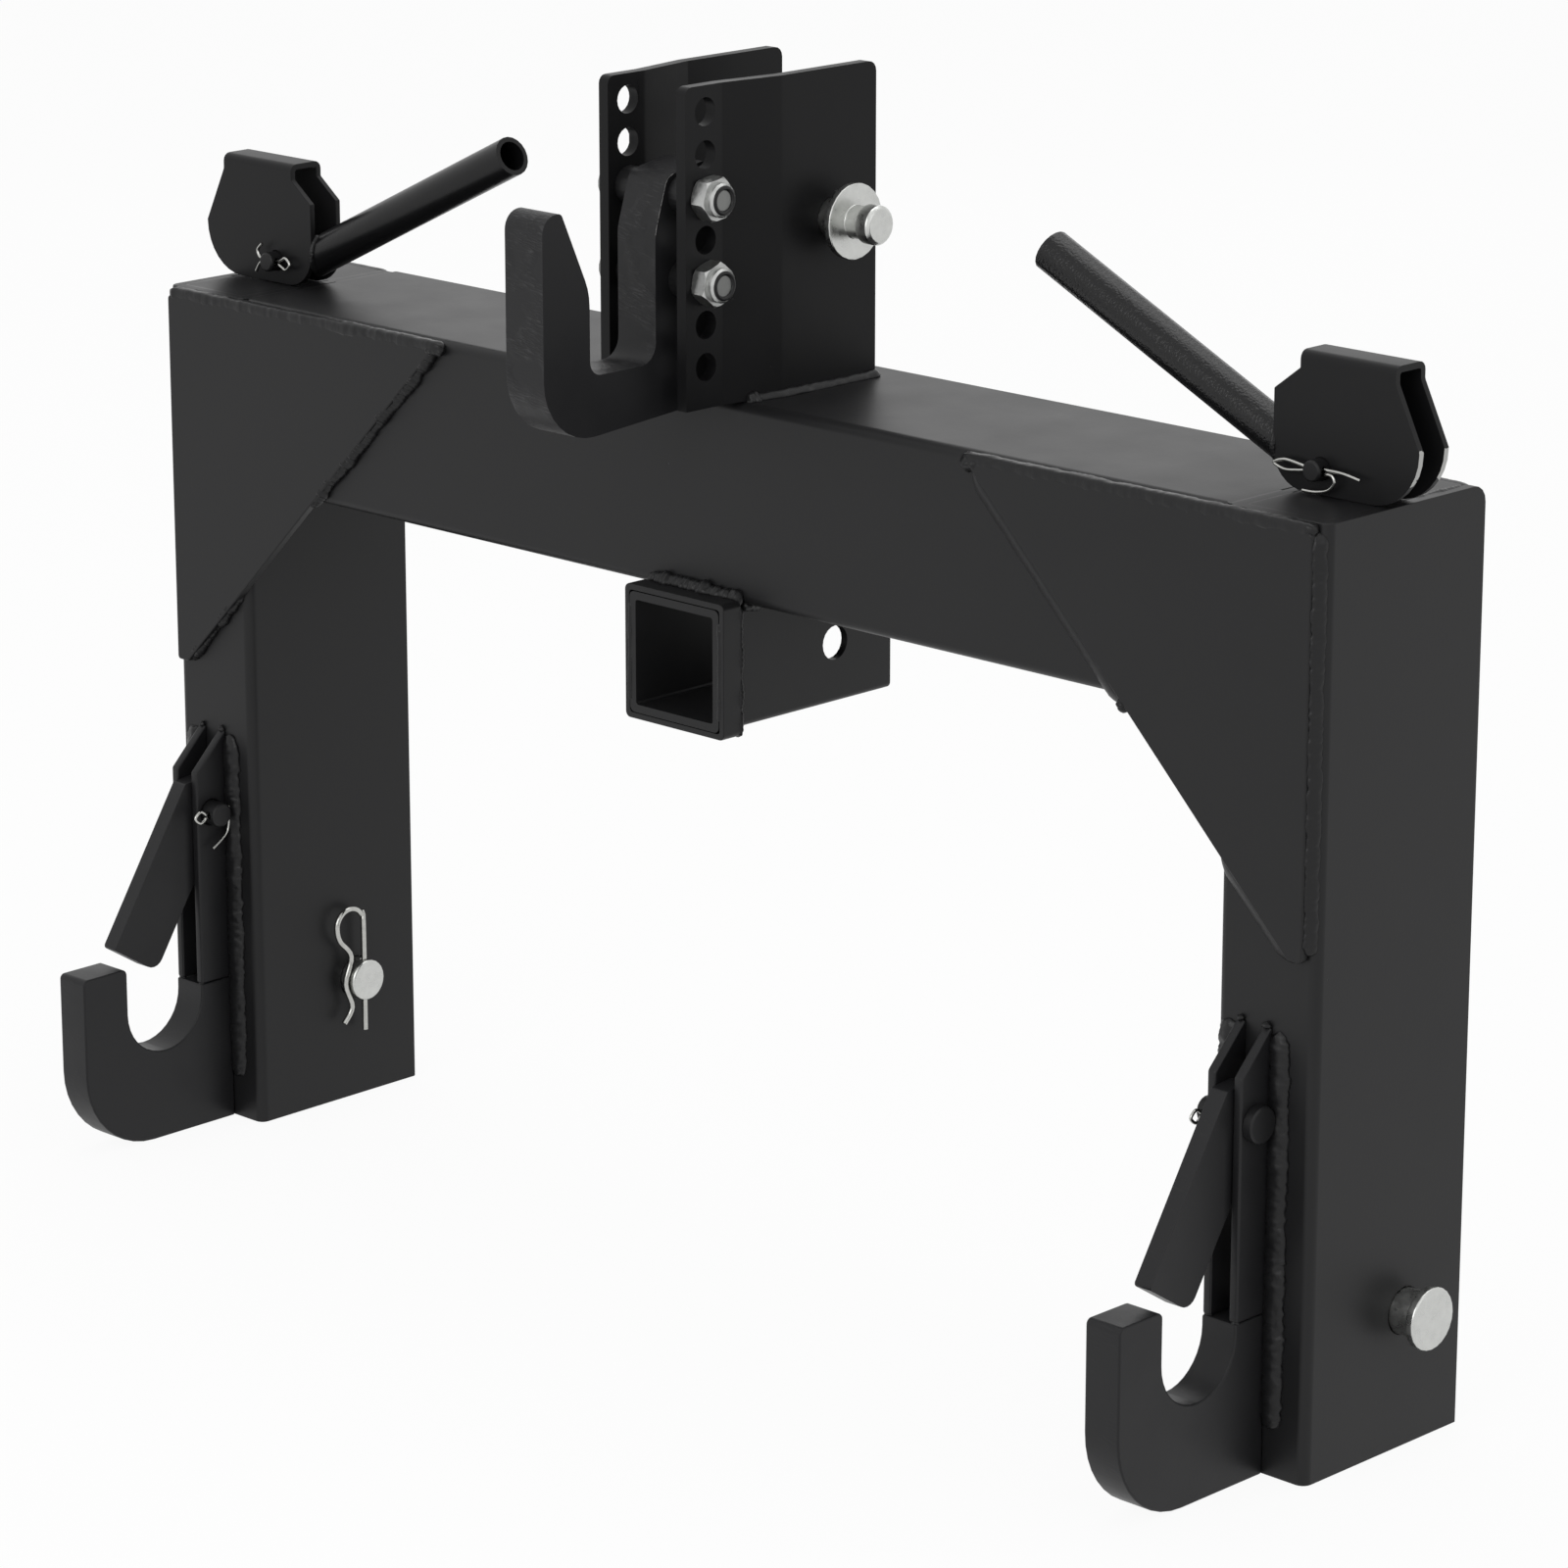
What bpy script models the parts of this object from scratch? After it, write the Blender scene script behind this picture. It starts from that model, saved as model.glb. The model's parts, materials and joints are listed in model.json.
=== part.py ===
"""Three point quick hitch for a small tractor, as an assembly of its separate pieces.

Metres, +Z up. The hooks point to -Y and the tractor's side is +Y. The origin is on the ground, midway
between the legs and at their front faces.
"""

import math

import bmesh
import bpy
from mathutils import Matrix, Vector

# Gaps between pieces that touch, and round shafts in their bores
FIT = 0.0003
RUNNING = 0.0003
# Share of a half width that a full round takes, so that its two arcs never meet in a point
NEARLY = 0.995

# Lower hooks' spacing, and how far their middles lie in from the outer faces of the legs.
# The photographed frame carries both hooks a little to the left of its middle.
HOOK_SPACING = 0.710
HOOK_FROM_OUTSIDE = 0.030
HOOK_SHIFT = -0.0044

# The welded frame: two legs folded from plate, open at the back, and a tube between them
FRAME_HEIGHT = 0.445
LEG_WIDTH = 0.057
LEG_DEPTH = 0.110
LEG_WALL = 0.006
LEG_ROUND = 0.005
LEG_TOP_ROUND = 0.008
CAP_THICKNESS = 0.006
BEAM_HEIGHT = 0.098
BEAM_WALL = 0.006

# 45 degree plates over the two front corners, down to a little above the latch cheeks
GUSSET_ABOVE_CHEEK = 0.0338
GUSSET_THICKNESS = 0.005
GUSSET_INSET = 0.005
GUSSET_DROP = 0.004
GUSSET_TIP = 0.008

# 2 inch receiver under the beam, with a collar round its mouth
RECEIVER_OPENING = 0.052
RECEIVER_WALL = 0.004
RECEIVER_ROUND = 0.003
RECEIVER_MOUTH = 0.015
RECEIVER_LENGTH = 0.119
RECEIVER_PIN_HOLE = 0.017
RECEIVER_PIN_FROM_END = 0.039
COLLAR_WALL = 0.003
COLLAR_LENGTH = 0.012

# Mast plates on the beam, closer together at the front, where they hold the top hook
MAST_THICKNESS = 0.006
MAST_HEIGHT = 0.152
MAST_FRONT = -0.034
MAST_BACK = 0.088
MAST_FRONT_GAP = 0.045
MAST_BACK_GAP = 0.056
MAST_BEND_START = -0.010
MAST_BEND_LENGTH = 0.034
MAST_FRONT_ROUND = 0.004
MAST_BACK_ROUND = 0.005
BOLT_ROW_Y = -0.021
BOLT_ROW_FOOT = 0.020
BOLT_PITCH = 0.020
BOLT_HOLES = 7
BOLT_HOLE = 0.0135
BOLT_PLACES = {"lower": 2, "upper": 4}

# Top hook: sizes from its lower bolt
TOP_HOOK_THICKNESS = 0.025
TOP_HOOK_REACH = 0.089
TOP_PRONG_THICKNESS = 0.0295
TOP_PRONG_RISE = 0.0405
TOP_PRONG_BEND = 0.0015
TOP_THROAT_DEPTH = 0.038
TOP_SHANK_HALF = 0.017
TOP_SHANK_RISE = 0.049
TOP_HOOK_FLOOR = 0.031
TOP_HOOK_HEEL_RISE = 0.008
TOP_HOOK_TOE_ROUND = 0.030
TOP_PRONG_TIP_BACK = 0.012
TOP_PRONG_TIP_ROUND = 0.009
TOP_PRONG_BEND_ROUND = 0.030
TOP_THROAT_FRONT_ROUND = 0.007
TOP_THROAT_BACK_ROUND = 0.010
TOP_SHANK_LEAN = 0.008
TOP_SHANK_LEAN_HEIGHT = 0.026
TOP_SHANK_LEAN_ROUND = 0.020
TOP_SHANK_CROWN = 0.005
TOP_SHANK_CORNER_ROUND = 0.007
CUT_EDGE_ROUND = 0.003

# M12 button-head bolts of the top hook, with lock nuts
BOLT_DIAMETER = 0.012
BOLT_HEAD_DIAMETER = 0.021
BOLT_HEAD_HEIGHT = 0.0066
BOLT_HEAD_RIM = 0.0008
BOLT_HEAD_CROWN = 0.0105
BOLT_SOCKET_FLATS = 0.008
BOLT_SOCKET_DEPTH = 0.0036
NUT_FLATS = 0.019
NUT_HEIGHT = 0.0085
NUT_COLLAR_HEIGHT = 0.0035
NUT_COLLAR_DIAMETER = 0.0165
NUT_CHAMFER = 0.0013
THREAD_CHAMFER = 0.001
NUT_TURN = {"lower": math.radians(20), "upper": math.radians(9)}
SPACER_DIAMETER = 0.018

# Top link pin
TOP_LINK_DIAMETER = 0.019
TOP_LINK_Y = 0.058
TOP_LINK_RISE = 0.081
TOP_LINK_FLANGE_GAP = 0.012
TOP_LINK_FLANGE = 0.0365
TOP_LINK_FLANGE_THICKNESS = 0.0035
TOP_LINK_STUB = 0.0165
TOP_LINK_NECK = 0.016
TOP_LINK_TAIL = 0.022
ROLL_PIN_DIAMETER = 0.005
ROLL_PIN_FROM_PLATE = 0.005
ROLL_PIN_PROUD = 0.004

# Lower hooks
HOOK_THICKNESS = 0.020
HOOK_REACH = 0.100
HOOK_PRONG_TOP = 0.0975
HOOK_PRONG = 0.029
HOOK_THROAT = 0.050
HOOK_FLOOR = 0.0475
HOOK_HEEL_TOP = 0.0775
HOOK_TOE_ROUND = 0.044

# Cheek plates over each hook, with the latch between them
CHEEK_THICKNESS = 0.0048
CHEEK_DEPTH = 0.0205
CHEEK_FRONT_TOP = 0.193
LATCH_PIVOT_Y = -0.011
LATCH_PIVOT_Z = 0.1705
LATCH_THICKNESS = 0.0095
LATCH_LEAN = math.radians(32.4)
LATCH_FRONT = 0.0198
LATCH_BACK = 0.0132
LATCH_LENGTH = 0.0873
LATCH_SWING = math.radians(41.3)
LATCH_TOP_RISE = 0.007
LATCH_SHOULDER = (0.002, 0.018)
LATCH_SHOULDER_RUN = 0.012
LATCH_SHOULDER_ROUND = 0.006
LATCH_TOE_ROUND = 0.007
LATCH_CROTCH_ROUND = 0.008
LATCH_CORNER_ROUND = 0.002
TAIL_HALF_WIDTH = 0.010
TAIL_END_WALL = 0.006
LATCH_PIN_DIAMETER = 0.0127
LATCH_PIN_HEAD = 0.0175
LATCH_PIN_HEAD_HEIGHT = 0.005
LATCH_PIN_PROUD = 0.009
LEG_SLOT_WIDTH = 0.0112
LEG_SLOT_BOTTOM = 0.079
LEG_SLOT_TOP = 0.194

# Lift rod from the lever down to the latch's tail
ROD_FROM_OUTSIDE = 0.038
ROD_Y = 0.051
ROD_DIAMETER = 0.012
ROD_EYE_DIAMETER = 0.022
CLEVIS_DEPTH = 0.020
CLEVIS_WALL = 0.004
CLEVIS_PIN_DIAMETER = 0.008
CLEVIS_PIN_HEAD = 0.012
CLEVIS_PIN_HEAD_HEIGHT = 0.0015
CLEVIS_BRIDGE = 0.007
CLEVIS_BELOW_PIN = 0.009
TAIL_SLOT_PLAY = 0.0006
SPRING_WIRE = 0.0025
SPRING_DIAMETER = 0.0195
SPRING_TURNS = 8
SPRING_END_PITCH = 0.00275
SPRING_LENGTH = 0.120
STOP_THICKNESS = 0.005
STOP_DEPTH = 0.070

# Hand lever: a cam folded from sheet, with a tube handle, rolling on top of the leg
CAM_WIDTH = 0.0205
CAM_SHEET = 0.003
CAM_FOLD_ROUND = 0.004
CAM_HEIGHT = 0.063
CAM_INNER_REACH = 0.0274
CAM_OUTER_REACH = 0.054
CAM_WEB_INNER = 0.013
CAM_WEB_OUTER = 0.040
CAM_HEEL_ROUND = 0.018
CAM_TOE_ROUND = 0.026
CAM_TOE_SIDE = 0.0267
CAM_SHOULDER_DROP = 0.008
CAM_SHOULDER_ROUND = 0.004
CAM_HANDLE_DROP = 0.019
CAM_CORNER_ROUND = 0.001
CAM_PIN_HEIGHT = 0.012
CAM_PIN_DIAMETER = 0.010
CAM_PIN_HEAD = 0.015
CAM_PIN_HEAD_HEIGHT = 0.003
CAM_PIN_PROUD = 0.0075
HANDLE_DIAMETER = 0.020
HANDLE_WALL = 0.0025
HANDLE_ANGLE = math.radians(25.5)
HANDLE_LENGTH = 0.156
HANDLE_ROOT_HEIGHT = 0.018

# Lower link pins across the legs
LINK_PIN_DIAMETER = 0.0222
LINK_PIN_Y = 0.069
LINK_PIN_Z = 0.0665
LINK_PIN_HEAD = 0.030
LINK_PIN_HEAD_HEIGHT = 0.0045
LINK_PIN_HEAD_GAP = 0.0125
LINK_PIN_PROUD = 0.010
LINK_CLIP_FROM_LEG = 0.006
LINK_PIN_EDGE = 0.0009

# Bent wire: split pins and R-clips
SPLIT_PIN_WIRE = 0.0016
SPLIT_PIN_PITCH = 0.0018
SPLIT_PIN_HOLE = 0.0042
CLIP_WIRE = 0.003
CLIP_HOLE = 0.0038
CLIP_LOOP = 0.0093

# The R-clip's bent leg, from the pin's centre in shares of the distance to the straight leg's wire
CLIP_BENT_LEG = [(-0.70, 1.12), (-1.03, 0.0), (-0.70, -1.06), (-1.15, -1.70)]
CLIP_FOOT = 2.2
CLIP_SHOULDER = 2.45
CLIP_NECK = (-1.8, 1.9)

# Shapes of the split pins' eyes and bent legs, from the pin's centre: out along the hole, and up
EYE_LONG = [(-0.010, 0.0024), (-0.0175, 0.0030), (-0.0235, 0.0), (-0.0175, -0.0030), (-0.010, -0.0022)]
EYE_SHORT = [(-0.0088, 0.0024), (-0.0108, 0.0026), (-0.0132, 0.0), (-0.0108, -0.0026),
             (-0.0088, -0.0022)]
SPLIT_PIN_SHAPES = {
    "cam_right": (EYE_LONG, [(0.015, 0.0008), (0.025, -0.0008)],
                  [(0.0095, -0.0014), (0.0105, -0.0045), (0.0070, -0.0080), (0.0, -0.0098),
                   (-0.007, -0.0100)]),
    "cam_left": (EYE_SHORT, [(0.0085, 0.0016), (0.0100, 0.0050), (0.0065, 0.0085)],
                 [(0.0085, -0.0020), (0.0115, -0.0065)]),
    "latch": (EYE_SHORT, [(0.0082, 0.0012), (0.0094, 0.0026)],
              [(0.0086, -0.0030), (0.0094, -0.0075), (0.0065, -0.0125), (-0.0030, -0.0185)]),
}

# Places that follow from the sizes above
LEG_OUTER = HOOK_SPACING / 2 + HOOK_FROM_OUTSIDE
LEG_INNER = LEG_OUTER - LEG_WIDTH
ROD_X = LEG_OUTER - ROD_FROM_OUTSIDE
CHEEK_BACK_TOP = CHEEK_FRONT_TOP + CHEEK_DEPTH - FIT
GUSSET_TOP = FRAME_HEIGHT - GUSSET_DROP
GUSSET_BOTTOM = CHEEK_BACK_TOP + GUSSET_ABOVE_CHEEK
BEAM_BOTTOM = FRAME_HEIGHT - BEAM_HEIGHT
MAST_FOOT = FRAME_HEIGHT + FIT
TOP_LINK_Z = FRAME_HEIGHT + TOP_LINK_RISE
CAM_BOTTOM = FRAME_HEIGHT + FIT
CAM_PIN_Z = FRAME_HEIGHT + CAM_PIN_HEIGHT
CAM_FRONT = ROD_Y - CAM_WIDTH / 2
CAM_BACK = ROD_Y + CAM_WIDTH / 2
RECEIVER_OUTER = RECEIVER_OPENING + 2 * RECEIVER_WALL
RECEIVER_Z = BEAM_BOTTOM - FIT - RECEIVER_OUTER / 2
TAIL_ARM = ROD_Y - LATCH_PIVOT_Y
TAIL_ANGLE = LATCH_SWING / 2
CLEVIS_PIN_Z = LATCH_PIVOT_Z - TAIL_ARM * math.tan(TAIL_ANGLE)
CLEVIS_THROAT = (CLEVIS_PIN_Z + TAIL_HALF_WIDTH / math.cos(TAIL_ANGLE)
                 + CLEVIS_DEPTH / 2 * math.tan(TAIL_ANGLE) + 2 * TAIL_SLOT_PLAY)
CLEVIS_TOP = CLEVIS_THROAT + CLEVIS_BRIDGE
CLEVIS_GAP = LATCH_THICKNESS + 2 * TAIL_SLOT_PLAY
SPRING_TOP = CLEVIS_TOP + FIT + SPRING_LENGTH

SIDES = {"right": 1, "left": -1}
PLACE = {
    "X": lambda u, v, w: (w, u, v),
    "Y": lambda u, v, w: (u, w, v),
    "Z": lambda u, v, w: (u, v, w),
}


# Shape helpers

def clear_scene():
    for obj in list(bpy.data.objects):
        bpy.data.objects.remove(obj, do_unlink=True)


def finish(name, colour, roughness, metallic):
    material = bpy.data.materials.new(name)
    material.use_nodes = True
    shader = material.node_tree.nodes["Principled BSDF"]
    shader.inputs["Base Color"].default_value = (*colour, 1)
    shader.inputs["Roughness"].default_value = roughness
    shader.inputs["Metallic"].default_value = metallic
    material.diffuse_color = (*colour, 1)
    return material


def rounded(corners, step=math.radians(18)):
    """Outline through (u, v, radius) corners, each turned into an arc where it has a radius."""
    points = []
    for index, (u, v, radius) in enumerate(corners):
        corner = Vector((u, v))
        back = (Vector(corners[index - 1][:2]) - corner).normalized()
        ahead = (Vector(corners[(index + 1) % len(corners)][:2]) - corner).normalized()
        half = back.angle(ahead) / 2
        if radius == 0:
            points.append(corner)
            continue
        centre = corner + (back + ahead).normalized() * (radius / math.sin(half))
        start = corner + back * (radius / math.tan(half)) - centre
        end = corner + ahead * (radius / math.tan(half)) - centre
        turn = math.atan2(start.cross(end), start.dot(end))
        count = max(1, math.ceil(abs(turn) / step))
        for part in range(count + 1):
            points.append(centre + Matrix.Rotation(turn * part / count, 2) @ start)
    return points


def circle(u, v, radius, segments=20, turn=0.0):
    angles = [math.tau * index / segments + turn for index in range(segments)]
    return [(u + radius * math.cos(a), v + radius * math.sin(a)) for a in angles]


def rectangle(u_low, v_low, u_high, v_high, radius=0.0):
    return rounded([(u_low, v_low, radius), (u_high, v_low, radius),
                    (u_high, v_high, radius), (u_low, v_high, radius)])


def mesh_object(name, bm, material):
    bmesh.ops.recalc_face_normals(bm, faces=bm.faces)
    mesh = bpy.data.meshes.new(name)
    bm.to_mesh(mesh)
    bm.free()
    mesh.materials.append(material)
    mesh.shade_smooth()
    mesh.set_sharp_from_angle(angle=math.radians(30))
    obj = bpy.data.objects.new(name, mesh)
    bpy.context.scene.collection.objects.link(obj)
    return obj


def prism(name, outline, axis, low, high, material):
    """Outline extruded along an axis: it lies in (y, z), (x, z) or (x, y) for X, Y or Z."""
    bm = bmesh.new()
    base = bm.faces.new([bm.verts.new(PLACE[axis](u, v, low)) for u, v in outline])
    grown = bmesh.ops.extrude_face_region(bm, geom=[base])["geom"]
    moved = [item for item in grown if isinstance(item, bmesh.types.BMVert)]
    bmesh.ops.translate(bm, verts=moved, vec=PLACE[axis](0, 0, high - low))
    return mesh_object(name, bm, material)


def turned(name, origin, axis, profile, material, ring=False, segments=20):
    """Profile of (along, radius) points spun about an axis. A ring's profile closes on itself."""
    origin = Vector(origin)
    axis = Vector(axis).normalized()
    side = axis.orthogonal().normalized()
    bm = bmesh.new()
    verts = [bm.verts.new(origin + axis * along + side * radius) for along, radius in profile]
    ends = verts[1:] + verts[:1] if ring else verts[1:]
    edges = [bm.edges.new(pair) for pair in zip(verts, ends)]
    bmesh.ops.spin(bm, geom=verts + edges, cent=origin, axis=axis, angle=math.tau,
                   steps=segments, use_merge=True)
    bmesh.ops.remove_doubles(bm, verts=bm.verts, dist=1e-6)
    return mesh_object(name, bm, material)


def soften(obj, is_edge, radius, segments=4):
    """Rounds the edges whose two ends and direction pass the test."""
    bm = bmesh.new()
    bm.from_mesh(obj.data)
    edges = [edge for edge in bm.edges if is_edge(edge.verts[0].co, edge.verts[1].co)]
    bmesh.ops.bevel(bm, geom=edges, offset=radius, segments=segments, profile=0.5, affect="EDGES")
    bm.to_mesh(obj.data)
    bm.free()
    obj.data.shade_smooth()
    obj.data.set_sharp_from_angle(angle=math.radians(30))


def combine(target, tool, operation="DIFFERENCE"):
    modifier = target.modifiers.new(tool.name, "BOOLEAN")
    modifier.operation = operation
    modifier.object = tool
    tool.hide_render = True
    tool.display_type = "WIRE"


def drill(target, name, axis, centre, diameter, low, high, segments=20):
    tool = prism(f"{target.name}_{name}", circle(*centre, diameter / 2, segments), axis, low, high,
                 target.data.materials[0])
    combine(target, tool)


def smooth(points, steps=2):
    """Catmull-Rom curve through the points."""
    ends = [points[0], *points, points[-1]]
    path = []
    for a, b, c, d in zip(ends, ends[1:], ends[2:], ends[3:]):
        for part in range(steps):
            t = part / steps
            path.append(0.5 * (2 * b + (c - a) * t + (2 * a - 5 * b + 4 * c - d) * t ** 2
                               + (3 * b - a - 3 * c + d) * t ** 3))
    return [*path, points[-1]]


def wire(name, points, diameter, material):
    curve = bpy.data.curves.new(name, "CURVE")
    curve.dimensions = "3D"
    curve.bevel_depth = diameter / 2
    curve.bevel_resolution = 1
    curve.use_fill_caps = True
    spline = curve.splines.new("POLY")
    spline.points.add(len(points) - 1)
    for point, place in zip(spline.points, points):
        point.co = (*place, 1)
    curve.materials.append(material)
    obj = bpy.data.objects.new(name, curve)
    bpy.context.scene.collection.objects.link(obj)
    return obj


def hang(name, pivot, pieces):
    """Parents the pieces to an empty on their joint's axis."""
    empty = bpy.data.objects.new(name, None)
    empty.location = pivot
    bpy.context.scene.collection.objects.link(empty)
    for piece in pieces:
        piece.data.transform(Matrix.Translation(-Vector(pivot)))
        piece.parent = empty


# The welded frame

def hook_centre(sign):
    return sign * HOOK_SPACING / 2 + HOOK_SHIFT


def leg(side, sign, coat):
    inner = sign * (LEG_INNER + LEG_WALL)
    outer = sign * (LEG_OUTER - LEG_WALL)
    fold = LEG_ROUND / 2
    outline = rounded([
        (sign * LEG_INNER, 0, LEG_ROUND), (sign * LEG_OUTER, 0, LEG_ROUND),
        (sign * LEG_OUTER, LEG_DEPTH, 0), (outer, LEG_DEPTH, 0),
        (outer, LEG_WALL, fold), (inner, LEG_WALL, fold),
        (inner, LEG_DEPTH, 0), (sign * LEG_INNER, LEG_DEPTH, 0),
    ])
    channel = prism(f"leg_{side}", outline, "Z", 0, FRAME_HEIGHT, coat)

    def on_top_back(a, b):
        return min(a.z, b.z) > FRAME_HEIGHT - FIT and min(a.y, b.y) > LEG_DEPTH - FIT

    soften(channel, on_top_back, LEG_TOP_ROUND)
    slot_x = hook_centre(sign)
    slot = prism(f"leg_{side}_slot",
                 rectangle(slot_x - LEG_SLOT_WIDTH / 2, LEG_SLOT_BOTTOM,
                           slot_x + LEG_SLOT_WIDTH / 2, LEG_SLOT_TOP, LEG_SLOT_WIDTH / 3),
                 "Y", -LEG_WALL, 2 * LEG_WALL, coat)
    combine(channel, slot)
    drill(channel, "bore", "X", (LINK_PIN_Y, LINK_PIN_Z), LINK_PIN_DIAMETER + 2 * RUNNING,
          sign * (LEG_INNER - LEG_WALL), sign * (LEG_OUTER + LEG_WALL))


def leg_cap(side, sign, coat):
    inner = LEG_INNER + LEG_WALL + FIT
    outer = LEG_OUTER - LEG_WALL - FIT
    outline = rectangle(min(sign * inner, sign * outer), LEG_WALL + FIT,
                        max(sign * inner, sign * outer), LEG_DEPTH - LEG_TOP_ROUND, LEG_ROUND / 2 + FIT)
    cap = prism(f"leg_cap_{side}", outline, "Z", FRAME_HEIGHT - CAP_THICKNESS, FRAME_HEIGHT, coat)
    drill(cap, "rod_hole", "Z", (sign * ROD_X, ROD_Y), ROD_DIAMETER + 6 * RUNNING,
          FRAME_HEIGHT - 2 * CAP_THICKNESS, FRAME_HEIGHT + CAP_THICKNESS)


def cross_beam(coat):
    end = LEG_INNER - FIT
    beam = prism("cross_beam", rectangle(0, BEAM_BOTTOM, LEG_DEPTH, FRAME_HEIGHT, LEG_ROUND),
                 "X", -end, end, coat)
    hollow = prism("cross_beam_hollow",
                   rectangle(BEAM_WALL, BEAM_BOTTOM + BEAM_WALL,
                             LEG_DEPTH - BEAM_WALL, FRAME_HEIGHT - BEAM_WALL, LEG_ROUND / 2),
                   "X", -LEG_OUTER, LEG_OUTER, coat)
    combine(beam, hollow)


def corner_plate(side, sign, coat):
    outer = LEG_OUTER - GUSSET_INSET
    reach = GUSSET_TOP - GUSSET_BOTTOM + GUSSET_TIP
    outline = rounded([
        (sign * (outer - reach), GUSSET_TOP, 0), (sign * outer, GUSSET_TOP, GUSSET_TIP / 4),
        (sign * outer, GUSSET_BOTTOM, GUSSET_TIP / 4),
        (sign * (outer - GUSSET_TIP), GUSSET_BOTTOM, GUSSET_TIP / 4),
    ])
    prism(f"corner_plate_{side}", outline, "Y", -FIT - GUSSET_THICKNESS, -FIT, coat)


def square_tube(name, outer, inner, radius, front, length, coat):
    wall = rectangle(-outer / 2, RECEIVER_Z - outer / 2, outer / 2, RECEIVER_Z + outer / 2, radius)
    tube = prism(name, wall, "Y", front, front + length, coat)
    bore = rectangle(-inner / 2, RECEIVER_Z - inner / 2, inner / 2, RECEIVER_Z + inner / 2, radius / 2)
    hollow = prism(f"{name}_hollow", bore, "Y", front - length, front + 2 * length, coat)
    combine(tube, hollow)
    return tube


def receiver(coat):
    tube = square_tube("receiver_tube", RECEIVER_OUTER, RECEIVER_OPENING, RECEIVER_ROUND,
                       -RECEIVER_MOUTH, RECEIVER_LENGTH, coat)
    hole_y = RECEIVER_LENGTH - RECEIVER_MOUTH - RECEIVER_PIN_FROM_END
    drill(tube, "pin_hole", "X", (hole_y, RECEIVER_Z), RECEIVER_PIN_HOLE,
          -RECEIVER_OUTER, RECEIVER_OUTER)
    collar_bore = RECEIVER_OUTER + 2 * FIT
    square_tube("receiver_collar", collar_bore + 2 * COLLAR_WALL, collar_bore,
                RECEIVER_ROUND, -RECEIVER_MOUTH, COLLAR_LENGTH, coat)


def bolt_z(hole):
    return FRAME_HEIGHT + BOLT_ROW_FOOT + hole * BOLT_PITCH


def mast_plate(side, sign, coat):
    front = MAST_FRONT_GAP / 2
    back = MAST_BACK_GAP / 2
    bend_end = MAST_BEND_START + MAST_BEND_LENGTH
    bend = MAST_THICKNESS
    faces = [(front, MAST_FRONT, 0), (front, MAST_BEND_START, 2 * bend), (back, bend_end, bend),
             (back, MAST_BACK, 0), (back + MAST_THICKNESS, MAST_BACK, 0),
             (back + MAST_THICKNESS, bend_end, 2 * bend),
             (front + MAST_THICKNESS, MAST_BEND_START, bend), (front + MAST_THICKNESS, MAST_FRONT, 0)]
    outline = rounded([(sign * x, y, radius) for x, y, radius in faces])
    top = MAST_FOOT + MAST_HEIGHT
    plate = prism(f"mast_plate_{side}", outline, "Z", MAST_FOOT, top, coat)

    def on_top_at(place):
        return lambda a, b: min(a.z, b.z) > top - FIT and max(abs(a.y - place), abs(b.y - place)) < FIT

    soften(plate, on_top_at(MAST_FRONT), MAST_FRONT_ROUND)
    soften(plate, on_top_at(MAST_BACK), MAST_BACK_ROUND)
    far = back + 2 * MAST_THICKNESS
    for hole in range(BOLT_HOLES):
        drill(plate, f"hole_{hole}", "X", (BOLT_ROW_Y, bolt_z(hole)), BOLT_HOLE, 0, sign * far)
    drill(plate, "link_hole", "X", (TOP_LINK_Y, TOP_LINK_Z), TOP_LINK_DIAMETER + 2 * RUNNING,
          0, sign * far)


# The top hook and what holds it

def top_hook(coat):
    low_bolt = bolt_z(BOLT_PLACES["lower"])
    high_bolt = bolt_z(BOLT_PLACES["upper"])
    front = BOLT_ROW_Y - TOP_HOOK_REACH
    prong_back = front + TOP_PRONG_THICKNESS
    shank_front = BOLT_ROW_Y - TOP_SHANK_HALF
    shank_back = BOLT_ROW_Y + TOP_SHANK_HALF
    floor = low_bolt - TOP_THROAT_DEPTH
    bottom = floor - TOP_HOOK_FLOOR
    bend = low_bolt + TOP_PRONG_BEND
    tip = low_bolt + TOP_PRONG_RISE
    shank_top = high_bolt + (TOP_SHANK_RISE - (high_bolt - low_bolt))
    outline = rounded([
        (front, bottom, TOP_HOOK_TOE_ROUND), (shank_back, bottom + TOP_HOOK_HEEL_RISE, CUT_EDGE_ROUND),
        (shank_back, shank_top + TOP_SHANK_CROWN, CUT_EDGE_ROUND),
        (shank_front + TOP_SHANK_LEAN, shank_top, TOP_SHANK_CORNER_ROUND),
        (shank_front, shank_top - TOP_SHANK_LEAN_HEIGHT, TOP_SHANK_LEAN_ROUND),
        (shank_front, floor, TOP_THROAT_BACK_ROUND), (prong_back, floor, TOP_THROAT_FRONT_ROUND),
        (prong_back, bend, TOP_PRONG_BEND_ROUND), (front + TOP_PRONG_TIP_BACK, tip, CUT_EDGE_ROUND),
        (front, tip, TOP_PRONG_TIP_ROUND),
    ], step=math.radians(12))
    hook = prism("top_hook", outline, "X", -TOP_HOOK_THICKNESS / 2, TOP_HOOK_THICKNESS / 2, coat)
    for place, hole in BOLT_PLACES.items():
        drill(hook, f"hole_{place}", "X", (BOLT_ROW_Y, bolt_z(hole)), BOLT_DIAMETER + 2 * RUNNING,
              -TOP_HOOK_THICKNESS, TOP_HOOK_THICKNESS)


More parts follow.
